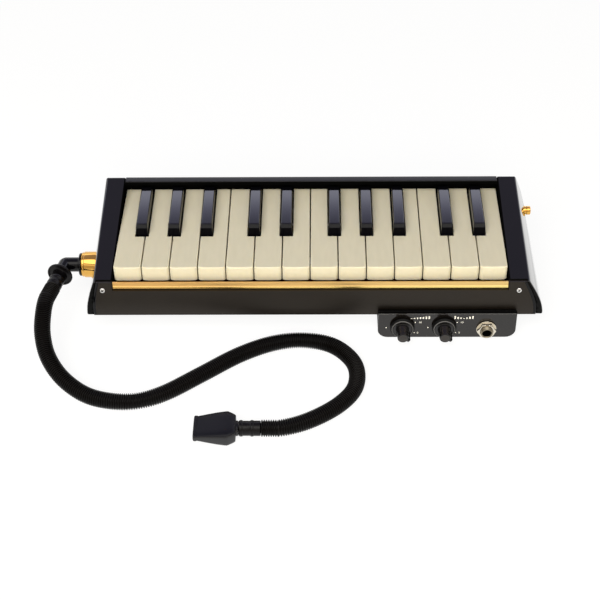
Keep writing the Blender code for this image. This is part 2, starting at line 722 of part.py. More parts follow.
def rear_rail():
    """The rail behind the keys, its flared rear wall, and a ledge that rests on the case."""
    under = SHELL_REAR_TOP_Z - RAIL_THICKNESS
    ledge = SHELL_BOTTOM_Z + REAR_LEDGE_THICKNESS
    side = [(RAIL_FRONT_Y, SHELL_REAR_TOP_Z), (RAIL_FRONT_Y, under)]
    for i in range(9):
        z = under + (ledge - under) * i / 8.0
        side.append((rear_face(z) - REAR_WALL, z))
    side += [(REAR_LEDGE_Y, ledge), (REAR_LEDGE_Y, SHELL_BOTTOM_Z)]
    for i in range(9):
        z = SHELL_BOTTOM_Z + (SHELL_REAR_TOP_Z - SHELL_BOTTOM_Z) * i / 8.0
        side.append((rear_face(z), z))
    shape = bmesh.new()
    add_prism(shape, side, "X", -(CHEEK_INNER_X - GAP), CHEEK_INNER_X - GAP)
    piece = round_edges(solid("rear_rail", shape, BLACK_PLASTIC), 0.8 * MM, 2)
    row = (SHELL_REAR_TOP_Z - SHELL_BOTTOM_Z) / 8.0
    for end in (-1, 1):
        top_x = CHEEK_INNER_X - CHEEK_LEAN[end] - 0.7 * MM
        slope = CHEEK_LEAN[end] / row
        foot = SHELL_REAR_TOP_Z - (CHEEK_INNER_X - GAP - top_x) / slope
        corners = [(end * (top_x - slope * MM), SHELL_REAR_TOP_Z + MM),
                   (end * (CHEEK_INNER_X - GAP), foot), (end * (CHEEK_INNER_X + MM), foot),
                   (end * (CHEEK_INNER_X + MM), SHELL_REAR_TOP_Z + MM)]
        room = bmesh.new()
        add_prism(room, corners, "Y", RAIL_FRONT_Y - MM, SHELL_REAR_Y + REAR_FLARE + MM)
        cut(piece, solid("lean_room", room))
    return piece


def front_panel():
    shape = bmesh.new()
    panel_block(shape, 0.0)
    piece = solid("front_panel", shape, BLACK_PLASTIC)
    edge = CHEEK_INNER_X + GAP
    notch = box_solid("trim_notch",
                      (-edge, SHELL_FRONT_Y - 2.0 * MM,
                       SHELL_FRONT_TOP_Z - TRIM_DROP - TRIM_HEIGHT - GAP),
                      (edge, SHELL_FRONT_Y + PANEL_THICKNESS + MM, SHELL_FRONT_TOP_Z + MM))
    return cut(piece, notch)


def front_trim():
    top = SHELL_FRONT_TOP_Z - TRIM_DROP
    low = top - TRIM_HEIGHT
    face = SHELL_FRONT_Y
    back = face + TRIM_DEPTH
    step = low + TRIM_HEIGHT * 0.45
    side = [(back, low), (face - TRIM_RIDGE, low), (face - TRIM_RIDGE, step),
            (face, step + TRIM_RIDGE), (face, top), (back, top)]
    shape = bmesh.new()
    add_prism(shape, side, "X", -(CHEEK_INNER_X - GAP), CHEEK_INNER_X - GAP)
    return solid("front_trim", shape, BRASS)


def keybed():
    """Bed under the keys, with its front wall, bottom flange and the pivot rod's ribs."""
    front = SHELL_FRONT_Y + PANEL_THICKNESS + GAP
    x = CHEEK_INNER_X - GAP
    foot_z = SHELL_BOTTOM_Z + GAP
    wall_top = BED_WALL_TOP_Z
    side = [(front, foot_z), (BED_FLANGE_Y, foot_z), (BED_FLANGE_Y, foot_z + 2.0 * MM),
            (front + BED_FRONT_WALL, foot_z + 2.0 * MM), (front + BED_FRONT_WALL, BED_Z[0]),
            (BED_REAR_Y, BED_Z[0]), (BED_REAR_Y, BED_Z[1]),
            (front + BED_FRONT_WALL, BED_Z[1]), (front + BED_FRONT_WALL, wall_top),
            (front, wall_top)]
    shape = bmesh.new()
    add_prism(shape, side, "X", -x, x)
    piece = solid("keybed", shape, GREY_PLASTIC)
    shape = bmesh.new()
    for line in rib_lines():
        add_box(shape, (line - RIB_THICKNESS / 2.0, PIVOT_Y - RIB_REACH, BED_Z[1] - MM),
                (line + RIB_THICKNESS / 2.0, PIVOT_Y + RIB_REACH, RIB_TOP_Z))
    cut(piece, solid("pivot_ribs", shape), "UNION")
    shape = bmesh.new()
    add_round(shape, (0.0, PIVOT_Y, PIVOT_Z), "X", ROD_RADIUS + GAP, -x - MM, x + MM, 12)
    return cut(piece, solid("rod_hole", shape))


def key_springs(tails):
    """One spring sheet with a finger under each key, bent up from its root."""
    x = CHAMBER_X - 2.0 * MM
    base_z = BED_Z[1] + GAP
    tip_z = LEVER_Z - GAP - SPRING_SHEET
    cuts = [-x]
    fingers = []
    for centre in sorted(tails.values()):
        fingers.append((len(cuts), centre))
        cuts += [centre - SPRING_FINGER_WIDTH / 2.0, centre + SPRING_FINGER_WIDTH / 2.0]
    cuts.append(x)
    shape = bmesh.new()
    rows = [[shape.verts.new((place, y, base_z)) for place in cuts] for y in SPRING_BASE_Y]
    for i in range(len(cuts) - 1):
        shape.faces.new((rows[0][i], rows[0][i + 1], rows[1][i + 1], rows[1][i]))
    for index, centre in fingers:
        tips = [shape.verts.new((cuts[index + k], SPRING_TIP_Y, tip_z)) for k in (0, 1)]
        shape.faces.new((rows[1][index], rows[1][index + 1], tips[1], tips[0]))
    piece = solid("key_springs", shape, STEEL)
    thick = piece.modifiers.new("Sheet", "SOLIDIFY")
    thick.thickness = SPRING_SHEET
    thick.offset = 1.0
    thick.use_even_offset = True
    return piece


def reed_length(index, count):
    return REED_LONGEST + (REED_SHORTEST - REED_LONGEST) * index / (count - 1)


def valve_block(tails):
    top = PAD_Z - GAP
    shelf = BED_Z[0] - GAP
    front, rear = CHAMBER_Y
    side = [(front, BLOCK_Z), (rear, BLOCK_Z), (rear, top), (BLOCK_REAR_Y, top),
            (BLOCK_REAR_Y, shelf), (front, shelf)]
    shape = bmesh.new()
    add_prism(shape, side, "X", -CHAMBER_X, CHAMBER_X)
    piece = solid("valve_block", shape, GREY_PLASTIC)
    middle = (PAD_START_Y + PAD_END_Y) / 2.0
    half = CHANNEL_WIDTH / 2.0
    holes = bmesh.new()
    for index, centre in enumerate(sorted(tails.values())):
        start = REED_END_Y - reed_length(index, len(tails)) - MM
        end = middle + VALVE_HOLE_LENGTH / 2.0
        profile = [(start, BLOCK_Z - MM), (end, BLOCK_Z - MM), (end, top + MM),
                   (end - VALVE_HOLE_LENGTH, top + MM),
                   (end - VALVE_HOLE_LENGTH, BLOCK_Z + CHANNEL_HEIGHT),
                   (start, BLOCK_Z + CHANNEL_HEIGHT)]
        add_prism(holes, profile, "X", centre - half, centre + half)
    return cut(piece, solid("valve_channels", holes))


def reed_plate(name, tails, first, last, x_range):
    top = BLOCK_Z - GAP
    low = top - PLATE_THICKNESS
    inset = CHAMBER_WALL + 2.0 * GAP
    piece = box_solid(name, (x_range[0], CHAMBER_Y[0] + inset, low),
                      (x_range[1], CHAMBER_Y[1] - inset, top), BRASS)
    slots = bmesh.new()
    tongues = bmesh.new()
    centres = sorted(tails.values())
    half = REED_WIDTH / 2.0
    for index in range(first, last):
        length = reed_length(index, len(centres))
        start = REED_END_Y - length
        add_box(slots, (centres[index] - half - REED_SLOT_PLAY, start - REED_SLOT_PLAY, low - MM),
                (centres[index] + half + REED_SLOT_PLAY, REED_END_Y, top + MM))
        add_box(tongues, (centres[index] - half, start, low - REED_THICKNESS),
                (centres[index] + half, REED_END_Y + REED_ROOT, low + 0.1 * MM))
    cut(piece, solid(name + "_slots", slots))
    return cut(piece, solid(name + "_reeds", tongues), "UNION")


def wind_chamber():
    low = CASE_BOTTOM_Z + CASE_WALL + GAP
    top = BLOCK_Z - 2.0 * GAP - GASKET_THICKNESS
    x = CHAMBER_X
    front, rear = CHAMBER_Y
    wall = CHAMBER_WALL
    piece = box_solid("wind_chamber", (-x, front, low), (x, rear, top), GREY_PLASTIC)
    cut(piece, box_solid("chamber_room", (wall - x, front + wall, low + wall),
                         (x - wall, rear - wall, top + MM)))
    ports = bmesh.new()
    half = DUCT_WIDTH / 2.0
    add_box(ports, (-x - MM, SOCKET_Y - half, DUCT_Z[0]),
            (wall + MM - x, SOCKET_Y + half, DUCT_Z[1]))
    add_box(ports, (x - wall - MM, DRAIN_Y - half + MM, DUCT_Z[0]),
            (x + MM, DRAIN_Y + half - MM, DUCT_Z[1]))
    cut(piece, solid("chamber_ports", ports))
    ring_low = top + GAP
    gasket = box_solid("chamber_gasket", (-x, front, ring_low),
                       (x, rear, ring_low + GASKET_THICKNESS), RUBBER)
    cut(gasket, box_solid("gasket_room", (wall - x, front + wall, low),
                          (x - wall, rear - wall, BLOCK_Z)))
    return piece


def lower_case():
    top = SHELL_BOTTOM_Z - GAP
    rear = SHELL_REAR_Y - GAP
    shape = bmesh.new()
    add_box(shape, (-CASE_X, CASE_FRONT_Y, CASE_BOTTOM_Z), (CASE_X, rear, top))
    upright = [edge for edge in shape.edges
               if abs(edge.verts[0].co.z - edge.verts[1].co.z) > MM]
    bmesh.ops.bevel(shape, geom=upright, offset=CASE_CORNER, segments=4, profile=0.5,
                    affect="EDGES")
    piece = solid("lower_case", shape, BLACK_PLASTIC)
    shape = bmesh.new()
    wall = CASE_WALL
    add_box(shape, (wall - CASE_X, CASE_FRONT_Y + wall, CASE_BOTTOM_Z + wall),
            (CASE_X - wall, rear - wall, top + MM))
    upright = [edge for edge in shape.edges
               if abs(edge.verts[0].co.z - edge.verts[1].co.z) > MM]
    bmesh.ops.bevel(shape, geom=upright, offset=CASE_CORNER - wall, segments=4, profile=0.5,
                    affect="EDGES")
    return cut(piece, solid("case_room", shape))


def foot(name, y):
    shape = bmesh.new()
    add_box(shape, (-FOOT_LENGTH / 2.0, y - FOOT_WIDTH / 2.0, 0.0),
            (FOOT_LENGTH / 2.0, y + FOOT_WIDTH / 2.0, CASE_BOTTOM_Z - GAP))
    return solid(name, shape, RUBBER)


def stop_felt():
    dip = math.asin(KEY_DIP / PIVOT_Y)
    arm = PIVOT_Y - FELT_Y[1]
    drop = arm * math.sin(dip)
    low = BED_Z[1] + GAP
    lowest_key = KEY_TOP_Z - WHITE_FRONT_HEIGHT - KEY_DIP
    top = min(lowest_key - FELT_PLAY, KEY_TOP_Z - WHITE_FRONT_HEIGHT - drop - FELT_PLAY)
    x = CHEEK_INNER_X - 2.0 * MM
    return box_solid("stop_felt", (-x, FELT_Y[0], low), (x, FELT_Y[1], top), FELT)


def pivot_rod():
    shape = bmesh.new()
    x = CHEEK_INNER_X + ROD_SEAT
    add_round(shape, (0.0, PIVOT_Y, PIVOT_Z), "X", ROD_RADIUS, -x, x, 12)
    return smooth(solid("key_pivot_rod", shape, STEEL))


def mouth_socket():
    length = SOCKET_SEAT_X - SOCKET_END_X
    r = SOCKET_RADIUS
    neck = r - SOCKET_LIP
    profile = [(SOCKET_SHANK_RADIUS, -SOCKET_SHANK_LENGTH), (SOCKET_SHANK_RADIUS, 0.0),
               (r, 0.0), (r, length - 2.0 * MM), (neck, length - 1.6 * MM),
               (neck, length - SOCKET_LIP), (neck - SOCKET_LIP, length)]
    return turned("mouth_socket", profile, (SOCKET_SEAT_X, SOCKET_Y, SOCKET_Z),
                  (-1.0, 0.0, 0.0), BRASS, SOCKET_BORE_RADIUS)


def drain_valve():
    head = DRAIN_HEAD_LENGTH
    stem = DRAIN_END_X - head - DRAIN_STEM_END_X
    r = DRAIN_HEAD_RADIUS
    profile = [(DRAIN_STEM_RADIUS, -stem), (DRAIN_STEM_RADIUS, 0.0), (r, 0.0),
               (r, head - 0.8 * MM), (r - 0.8 * MM, head)]
    button = turned("drain_button", profile, (DRAIN_END_X - head, DRAIN_Y, DRAIN_Z),
                    (1.0, 0.0, 0.0), BRASS)
    start = DRAIN_SEAT_X + GAP + COIL_WIRE / 2.0
    end = DRAIN_END_X - head - GAP - COIL_WIRE / 2.0
    coil_radius = (DRAIN_STEM_RADIUS + r) / 2.0
    count = COIL_TURNS * 10
    points = []
    for i in range(count + 1):
        turn = 2.0 * math.pi * i / 10.0
        points.append((start + (end - start) * i / count, DRAIN_Y + coil_radius * math.cos(turn),
                       DRAIN_Z + coil_radius * math.sin(turn)))
    pipe("drain_spring", points, [COIL_WIRE / 2.0] * len(points), STEEL, 1)
    return button


def box_outline(inset, top):
    """Front view of the control box: a rectangle with two rounded lower corners."""
    left, right = BOX_X[0] + inset, BOX_X[1] - inset
    low, corner = BOX_BOTTOM_Z + inset, BOX_CORNER - inset
    outline = [(left, top)]
    for centre, start in ((left + corner, 180.0), (right - corner, 270.0)):
        for i in range(7):
            turn = math.radians(start + 15.0 * i)
            outline.append((centre + corner * math.cos(turn),
                            low + corner + corner * math.sin(turn)))
    outline.append((right, top))
    return outline


def control_box():
    back = BOX_FRONT_Y + BOX_PLATE + GAP
    lip_back = SHELL_FRONT_Y - SHELL_FRONT_SWELL - GAP
    low = BOX_BOTTOM_Z
    shelf = SHELL_BOTTOM_Z - GAP
    side = [(back, low), (BOX_REAR_Y, low), (BOX_REAR_Y, shelf), (lip_back, shelf),
            (lip_back, BOX_TOP_Z), (back, BOX_TOP_Z)]
    shape = bmesh.new()
    add_prism(shape, side, "X", BOX_X[0], BOX_X[1])
    piece = round_edges(solid("control_box", shape, BLACK_PLASTIC), 0.6 * MM, 1)
    shape = bmesh.new()
    add_prism(shape, box_outline(0.0, BOX_TOP_Z + MM), "Y", back - MM, BOX_REAR_Y + MM)
    cut(piece, solid("rounded_block", shape), "INTERSECT")
    shape = bmesh.new()
    add_prism(shape, box_outline(BOX_WALL, shelf - BOX_WALL), "Y", back - MM,
              BOX_REAR_Y - BOX_WALL)
    return cut(piece, solid("control_room", shape))


def control_panel():
    shape = bmesh.new()
    add_prism(shape, box_outline(0.0, BOX_TOP_Z), "Y", BOX_FRONT_Y, BOX_FRONT_Y + BOX_PLATE)
    piece = solid("control_panel", shape, SATIN_PANEL)
    holes = bmesh.new()
    ends = (BOX_FRONT_Y - MM, BOX_FRONT_Y + BOX_PLATE + MM)
    for x in KNOB_X.values():
        add_round(holes, (x, 0.0, KNOB_Z), "Y", BUSH_RADIUS + GAP, *ends)
    add_round(holes, (JACK_X, 0.0, JACK_Z), "Y", JACK_BARREL_RADIUS + GAP, *ends)
    return cut(piece, solid("panel_holes", holes))


def knob(name):
    """Turning knob: a skirt, a tapered grip and one raised pointer rib down its side."""
    start = KNOB_STANDOFF
    skirt = start + KNOB_SKIRT_HEIGHT
    end = start + KNOB_LENGTH - 0.4 * MM
    profile = [(KNOB_SKIRT_RADIUS, start), (KNOB_SKIRT_RADIUS, start + 0.8 * MM),
               (KNOB_RIM_RADIUS, skirt), (KNOB_BODY_RADIUS, skirt),
               (KNOB_TIP_RADIUS, end - 0.7 * MM), (KNOB_TIP_RADIUS - 0.7 * MM, end)]
    place = (KNOB_X[name], BOX_FRONT_Y, KNOB_Z)
    piece = turned(name + "_knob", profile, place, (0.0, -1.0, 0.0), BLACK_PLASTIC)
    face = BOX_FRONT_Y
    rib = box_solid(name + "_rib", (-KNOB_RIB_WIDTH / 2.0, face - end + 0.6 * MM, 0.0),
                    (KNOB_RIB_WIDTH / 2.0, face - skirt + 0.5 * MM, KNOB_RIB_REACH))
    rib.data.transform(Matrix.Rotation(math.radians(KNOB_POINTER), 4, "Y"))
    rib.location = (place[0], 0.0, place[2])
    cut(piece, rib, "UNION")
    shape = bmesh.new()
    add_round(shape, place, "Y", SHAFT_RADIUS + GAP, face - SHAFT_OUT - GAP, face, 16)
    return cut(piece, solid(name + "_knob_hole", shape))


def potentiometer(name):
    rear_face = BOX_PLATE + GAP
    place = (KNOB_X[name], BOX_FRONT_Y, KNOB_Z)
    profile = [(POT_RADIUS, -(rear_face + POT_DEPTH)), (POT_RADIUS, -rear_face),
               (BUSH_RADIUS, -rear_face), (BUSH_RADIUS, BUSH_OUT)]
    turned(name + "_pot", profile, place, (0.0, -1.0, 0.0), STEEL, SHAFT_RADIUS + GAP)
    profile = [(SHAFT_RADIUS, SHAFT_OUT - SHAFT_LENGTH), (SHAFT_RADIUS, SHAFT_OUT)]
    return turned(name + "_shaft", profile, place, (0.0, -1.0, 0.0), STEEL)


def output_jack():
    rear_face = BOX_PLATE + GAP
    place = (JACK_X, BOX_FRONT_Y, JACK_Z)
    profile = [(JACK_BODY_RADIUS, -JACK_DEPTH), (JACK_BODY_RADIUS, -rear_face),
               (JACK_BARREL_RADIUS, -rear_face), (JACK_BARREL_RADIUS, JACK_OUT - 0.5 * MM),
               (JACK_BARREL_RADIUS - 0.5 * MM, JACK_OUT)]
    jack = turned("output_jack", profile, place, (0.0, -1.0, 0.0), NICKEL, JACK_BORE_RADIUS)
    face = BOX_FRONT_Y - GAP
    shape = bmesh.new()
    add_round(shape, place, "Y", NUT_ACROSS / math.sqrt(3.0), face - NUT_HEIGHT,
              face - WASHER_THICKNESS + 0.1 * MM, 6)
    bmesh.ops.rotate(shape, verts=shape.verts, cent=place,
                     matrix=Matrix.Rotation(math.radians(NUT_TURN), 3, "Y"))
    nut = solid("jack_nut", shape, NICKEL)
    shape = bmesh.new()
    add_round(shape, place, "Y", WASHER_RADIUS, face - WASHER_THICKNESS, face)
    cut(nut, solid("nut_washer", shape), "UNION")
    shape = bmesh.new()
    add_round(shape, place, "Y", JACK_BARREL_RADIUS + GAP, face - 10.0 * MM, face + MM)
    cut(nut, solid("nut_bore", shape))
    return jack


def pickup_board():
    """The amplifier board stands behind the controls, clear of the pots and the jack."""
    rear = BOX_REAR_Y - BOX_WALL - GAP
    low = BOX_BOTTOM_Z + BOX_WALL + GAP
    high = SHELL_BOTTOM_Z - GAP - BOX_WALL - GAP
    return box_solid("pickup_board", (BOX_X[0] + BOX_CORNER, rear - BOARD_THICKNESS, low),
                     (JACK_X - JACK_BODY_RADIUS - 2.0 * MM, rear, high), BOARD_GREEN)


def leg_way():
    """Direction of the elbow's second leg, level and turned from the mouth socket's axis."""
    return Vector((-math.cos(LEG_TURN), -math.sin(LEG_TURN), 0.0))


def mitred_tube(name, centres, radius, look):
    """A tube with sharp mitred bends: each bend's ring lies on the plane between its legs."""
    shape = bmesh.new()
    rings = []
    for before, here, after in zip([None] + centres, centres, centres[1:] + [None]):
        came = ((here - before) if before else (after - here)).normalized()
        goes = ((after - here) if after else (here - before)).normalized()
        across = Vector((0.0, 0.0, 1.0)).cross(came + goes).normalized()
        across *= radius / math.cos(came.angle(goes) / 2.0)
        ring = []
        for i in range(SIDES):
            turn = 2.0 * math.pi * i / SIDES
            ring.append(shape.verts.new(here + across * math.cos(turn)
                                        + Vector((0.0, 0.0, radius * math.sin(turn)))))
        rings.append(ring)
    for first, second in zip(rings, rings[1:]):
        for i in range(SIDES):
            j = (i + 1) % SIDES
            shape.faces.new((first[i], first[j], second[j], second[i]))
    shape.faces.new(rings[0])
    shape.faces.new(rings[-1])
    return solid(name, shape, look)


def elbow():
    corner = Vector((ELBOW_CORNER_X, SOCKET_Y, SOCKET_Z))
    way = leg_way()
    face = SOCKET_END_X - GAP
    end = corner + way * ELBOW_LEG
    points = [Vector((face - ELBOW_FLANGE_THICKNESS / 2.0, SOCKET_Y, SOCKET_Z)),
              corner + Vector((ELBOW_MITRE, 0.0, 0.0)), corner + way * ELBOW_MITRE, end]
    piece = mitred_tube("elbow", points, ELBOW_RADIUS, BLACK_PLASTIC)
    tip = (SOCKET_END_X + ELBOW_SPIGOT_LENGTH, SOCKET_Y, SOCKET_Z)
    fittings = [
        ("elbow_spigot", [tip, points[0] - Vector((MM, 0.0, 0.0))], ELBOW_SPIGOT_RADIUS),
        ("elbow_flange", [(face, SOCKET_Y, SOCKET_Z),
                          (face - ELBOW_FLANGE_THICKNESS, SOCKET_Y, SOCKET_Z)],
         ELBOW_FLANGE_RADIUS),
        ("elbow_plug", [end - way * MM, end + way * ELBOW_PLUG_LENGTH], ELBOW_PLUG_RADIUS),
    ]
    for name, ends, radius in fittings:
        cut(piece, pipe(name, ends, [radius] * 2, None, 6), "UNION")
    run = [Vector(tip) + Vector((MM, 0.0, 0.0))] + points[1:-1] + [end + way * (ELBOW_PLUG_LENGTH + MM)]
    cut(piece, pipe("elbow_bore", run, [ELBOW_BORE_RADIUS] * len(run), None, 2))
    return end


def hose_and_fittings():
    end = elbow()
    way = leg_way()
    ring = CUFF_RING_THICKNESS
    start = end + way * GAP
    neck = CUFF_RADIUS - CUFF_GROOVE
    profile = [(CUFF_RING_RADIUS - 0.6 * MM, 0.0), (CUFF_RING_RADIUS, 0.6 * MM),
               (CUFF_RING_RADIUS, ring), (neck, ring + 0.4 * MM)]
    for low in (CUFF_LENGTH * 0.48, CUFF_LENGTH * 0.78):
        profile += [(neck, low - MM), (CUFF_RADIUS, low - 0.6 * MM), (CUFF_RADIUS, low + 1.6 * MM),
                    (neck, low + 2.0 * MM)]
    profile += [(neck, CUFF_LENGTH)]
    turned("hose_cuff", profile, start, way, RUBBER, ELBOW_PLUG_RADIUS + GAP)
    hose_start = start + way * (CUFF_LENGTH + GAP)
    mouth_way = Vector((-1.0, 0.0, 0.0))
    mouth = Vector((MOUTH_X, MOUTH_Y, HOSE_REST_Z))
    straight = 2.0 * HOSE_RADIUS
    knots = [hose_start + way * straight] + HOSE_ROUTE + [mouth - mouth_way * straight]
    line, length = smooth_route(knots, way * 20.0 * MM, mouth_way * 20.0 * MM, 2.0 * MM)
    least = min((a - b).length for i, a in enumerate(line) for b in line[i + 25:])
    total = length + 2.0 * straight
    print("hose length %.1f mm, least distance between far turns %.1f mm" % (total / MM, least / MM))
    ribs, _ = smooth_route(knots, way * 20.0 * MM, mouth_way * 20.0 * MM, length / (2 * HOSE_RIBS))
    points = [hose_start] + ribs + [mouth]
    radii = [HOSE_VALLEY_RADIUS]
    radii += [HOSE_VALLEY_RADIUS if i % 2 == 0 else HOSE_RADIUS for i in range(len(ribs))]
    radii += [HOSE_VALLEY_RADIUS]
    hose = pipe("hose", points, radii, RUBBER, 2)
    coarse, _ = smooth_route(knots, way * 20.0 * MM, mouth_way * 20.0 * MM, 7.0 * MM)
    run = [hose_start - way * 2.0 * MM] + coarse + [mouth + mouth_way * 2.0 * MM]
    cut(hose, pipe("hose_bore", run, [HOSE_BORE_RADIUS] * len(run), None, 2))
    cuff_start = mouth + mouth_way * GAP
    r = MOUTH_CUFF_RADIUS
    b = MOUTH_CUFF_RING
    n = MOUTH_CUFF_LENGTH
    profile = [(r - b, 0.0), (r - b, 5.0 * MM), (r, 5.4 * MM), (r, 6.6 * MM), (r - b, 7.0 * MM),
               (r - b, n - 2.6 * MM), (r, n - 2.2 * MM), (r, n - 0.8 * MM), (r - b, n)]
    turned("mouth_cuff", profile, cuff_start, mouth_way, RUBBER, HOSE_BORE_RADIUS)
    mouthpiece(cuff_start + mouth_way * (n + GAP))


def mouthpiece(root):
    """Flat mouthpiece: rounded-box sections along X, widest near its root."""
    stations = [(0.0, 0.62, 0.80), (0.06, 0.80, 0.96), (0.20, 1.0, 1.0), (0.55, 0.93, 0.82),
                (0.94, MOUTHPIECE_TIP_WIDTH / MOUTHPIECE_WIDTH,
                 MOUTHPIECE_TIP_HEIGHT / MOUTHPIECE_HEIGHT),
                (1.0, MOUTHPIECE_TIP_WIDTH / MOUTHPIECE_WIDTH - 0.06,
                 MOUTHPIECE_TIP_HEIGHT / MOUTHPIECE_HEIGHT - 0.12)]
    shape = bmesh.new()
    rings = []
    for share, width, height in stations:
        ring = []
        for i in range(20):
            turn = 2.0 * math.pi * i / 20.0
            c, s = math.cos(turn), math.sin(turn)
            y = math.copysign(abs(c) ** 0.55, c) * MOUTHPIECE_WIDTH / 2.0 * width
            z = math.copysign(abs(s) ** 0.75, s) * MOUTHPIECE_HEIGHT / 2.0 * height
            ring.append(shape.verts.new((root.x - share * MOUTHPIECE_LENGTH, root.y + y,
                                         root.z + z)))
        rings.append(ring)
    for first, second in zip(rings, rings[1:]):
        for i in range(20):
            shape.faces.new((first[i], first[(i + 1) % 20], second[(i + 1) % 20], second[i]))
    shape.faces.new(rings[0])
    shape.faces.new(rings[-1])
    piece = smooth(solid("mouthpiece", shape, RUBBER))
    shape = bmesh.new()
    add_round(shape, root, "X", MOUTHPIECE_BORE_RADIUS, root.x + MM,
              root.x - MOUTHPIECE_LENGTH - MM, 16)
    return cut(piece, solid("mouthpiece_bore", shape))


def settle():
    """Move the whole instrument so that the origin is at the middle of its footprint."""
    x = (SOCKET_END_X + CHEEK_TOP_X[1] + CHEEK_FLARE[1]) / 2.0
    y = (BOX_FRONT_Y - KNOB_STANDOFF - KNOB_LENGTH + 0.4 * MM + SHELL_REAR_Y + REAR_FLARE) / 2.0
    for item in bpy.data.objects:
        if item.parent is None:
            item.location -= Vector((x, y, 0.0))


for old in list(bpy.data.objects):
    bpy.data.objects.remove(old, do_unlink=True)

PARTS = collection("bass melodica")
CUTTERS = collection("cutters", hidden=True)

blacks = black_centres()
tails = tail_centres(blacks)
for number in range(len(WHITE_NOTES)):
    white_key(number, blacks)
for note, x in blacks.items():
    black_key(note, x)
pivot_rod()
key_springs(tails)
keybed()
stop_felt()
bore_left_cheek(cheek(-1))
bore_right_cheek(cheek(1))
rear_rail()
front_panel()
front_trim()
lower_case()
foot("front_foot", CASE_FRONT_Y + FOOT_INSET)
foot("rear_foot", SHELL_REAR_Y - FOOT_INSET)
valve_block(tails)
low_count = len(tails) // 2
edge_x = CHAMBER_X - CHAMBER_WALL - 2.0 * GAP
reed_plate("low_reed_plate", tails, 0, low_count, (-edge_x, -MM))
reed_plate("high_reed_plate", tails, low_count, len(tails), (MM, edge_x))
wind_chamber()
mouth_socket()
drain_valve()
control_box()
control_panel()
for kind in KNOB_X:
    knob(kind)
    potentiometer(kind)
output_jack()
pickup_board()
hose_and_fittings()
settle()
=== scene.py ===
import json
import math
import bmesh
import bpy
import numpy as np
from mathutils import Matrix

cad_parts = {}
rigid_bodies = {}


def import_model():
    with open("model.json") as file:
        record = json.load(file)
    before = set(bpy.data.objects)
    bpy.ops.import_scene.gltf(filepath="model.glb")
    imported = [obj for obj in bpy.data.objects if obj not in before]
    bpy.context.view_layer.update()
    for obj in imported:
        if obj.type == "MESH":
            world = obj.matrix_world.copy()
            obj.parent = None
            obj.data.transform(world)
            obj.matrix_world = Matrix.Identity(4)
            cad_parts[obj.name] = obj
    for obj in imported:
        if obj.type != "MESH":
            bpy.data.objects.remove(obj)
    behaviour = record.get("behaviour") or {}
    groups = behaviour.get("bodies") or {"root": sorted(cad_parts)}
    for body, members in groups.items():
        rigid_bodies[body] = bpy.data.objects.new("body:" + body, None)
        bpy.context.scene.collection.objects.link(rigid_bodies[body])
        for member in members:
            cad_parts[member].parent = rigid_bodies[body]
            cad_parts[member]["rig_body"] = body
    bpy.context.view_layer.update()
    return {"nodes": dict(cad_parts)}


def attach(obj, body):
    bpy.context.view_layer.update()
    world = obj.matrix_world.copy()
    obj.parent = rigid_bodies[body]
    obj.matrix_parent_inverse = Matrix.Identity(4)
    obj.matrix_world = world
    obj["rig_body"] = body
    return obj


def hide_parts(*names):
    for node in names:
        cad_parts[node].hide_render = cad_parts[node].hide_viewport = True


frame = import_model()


# The camera.
# The instrument lies on a white table and is seen from the player's side, from above.
# Points are given in millimetres from the middle of the key row's front edge, with the
# height above the table; HOME moves them to the frame.
HOME = np.array([0.3, -34.95, 0.0])
CAMERA_AT = np.array([7.26891402, -781.20775187, 706.60601015])
PITCH, YAW, ROLL = 41.22792051, -1.0781125, -0.84238614
FOCAL_PIXELS, PICTURE_PIXELS = 1440.0, 600.0


def look_from(point, pitch, yaw, roll):
    """Camera matrix: forward from yaw and pitch, then right and up turned by the roll."""
    p, y, r = (math.radians(v) for v in (pitch, yaw, roll))
    forward = np.array([math.sin(y) * math.cos(p), math.cos(y) * math.cos(p), -math.sin(p)])
    right = np.array([math.cos(y), -math.sin(y), 0.0])
    up = np.cross(right, forward)
    turned_right = math.cos(r) * right + math.sin(r) * up
    turned_up = -math.sin(r) * right + math.cos(r) * up
    place = np.eye(4)
    place[:3, 0], place[:3, 1], place[:3, 2] = turned_right, turned_up, -forward
    place[:3, 3] = (point + HOME) / 1000.0
    return Matrix(place.tolist())


lens = bpy.data.cameras.new("camera")
lens.sensor_width = 36.0
lens.lens = lens.sensor_width * FOCAL_PIXELS / PICTURE_PIXELS
lens.clip_start, lens.clip_end = 0.01, 50.0
camera = bpy.data.objects.new("camera", lens)
camera.matrix_world = look_from(CAMERA_AT, PITCH, YAW, ROLL)
bpy.context.scene.collection.objects.link(camera)
bpy.context.scene.camera = camera
bpy.context.scene.view_settings.view_transform = "Standard"


# The room: plain white to the eye, and in mirrors a pale room with a dim ceiling.
# Polished black shows only what it mirrors, so this gives each black face its tone. The
# light itself comes evenly from all sides and from two broad lamps in front.
def linear(code):
    """An sRGB hex colour as linear red, green and blue, with an alpha of 1."""
    srgb = np.array([int(code[i:i + 2], 16) for i in (1, 3, 5)]) / 255.0
    curve = np.where(srgb <= 0.04045, srgb / 12.92, ((srgb + 0.055) / 1.055) ** 2.4)
    return (*curve.tolist(), 1.0)


def add(tree, kind, values=None, links=None, **settings):
    """Add one shader node with its settings, its sockets' values and its incoming links."""
    node = tree.nodes.new("ShaderNode" + kind)
    for name, setting in settings.items():
        setattr(node, name, setting)
    for socket, value in (values or {}).items():
        node.inputs[socket].default_value = value
    for socket, source in (links or {}).items():
        tree.links.new(source, node.inputs[socket])
    return node


world = bpy.data.worlds.new("room")
bpy.context.scene.world = world
world.use_nodes = True
room = world.node_tree
room.nodes.clear()
direction = add(room, "TexCoord")
axes = add(room, "SeparateXYZ", links={0: direction.outputs["Generated"]})
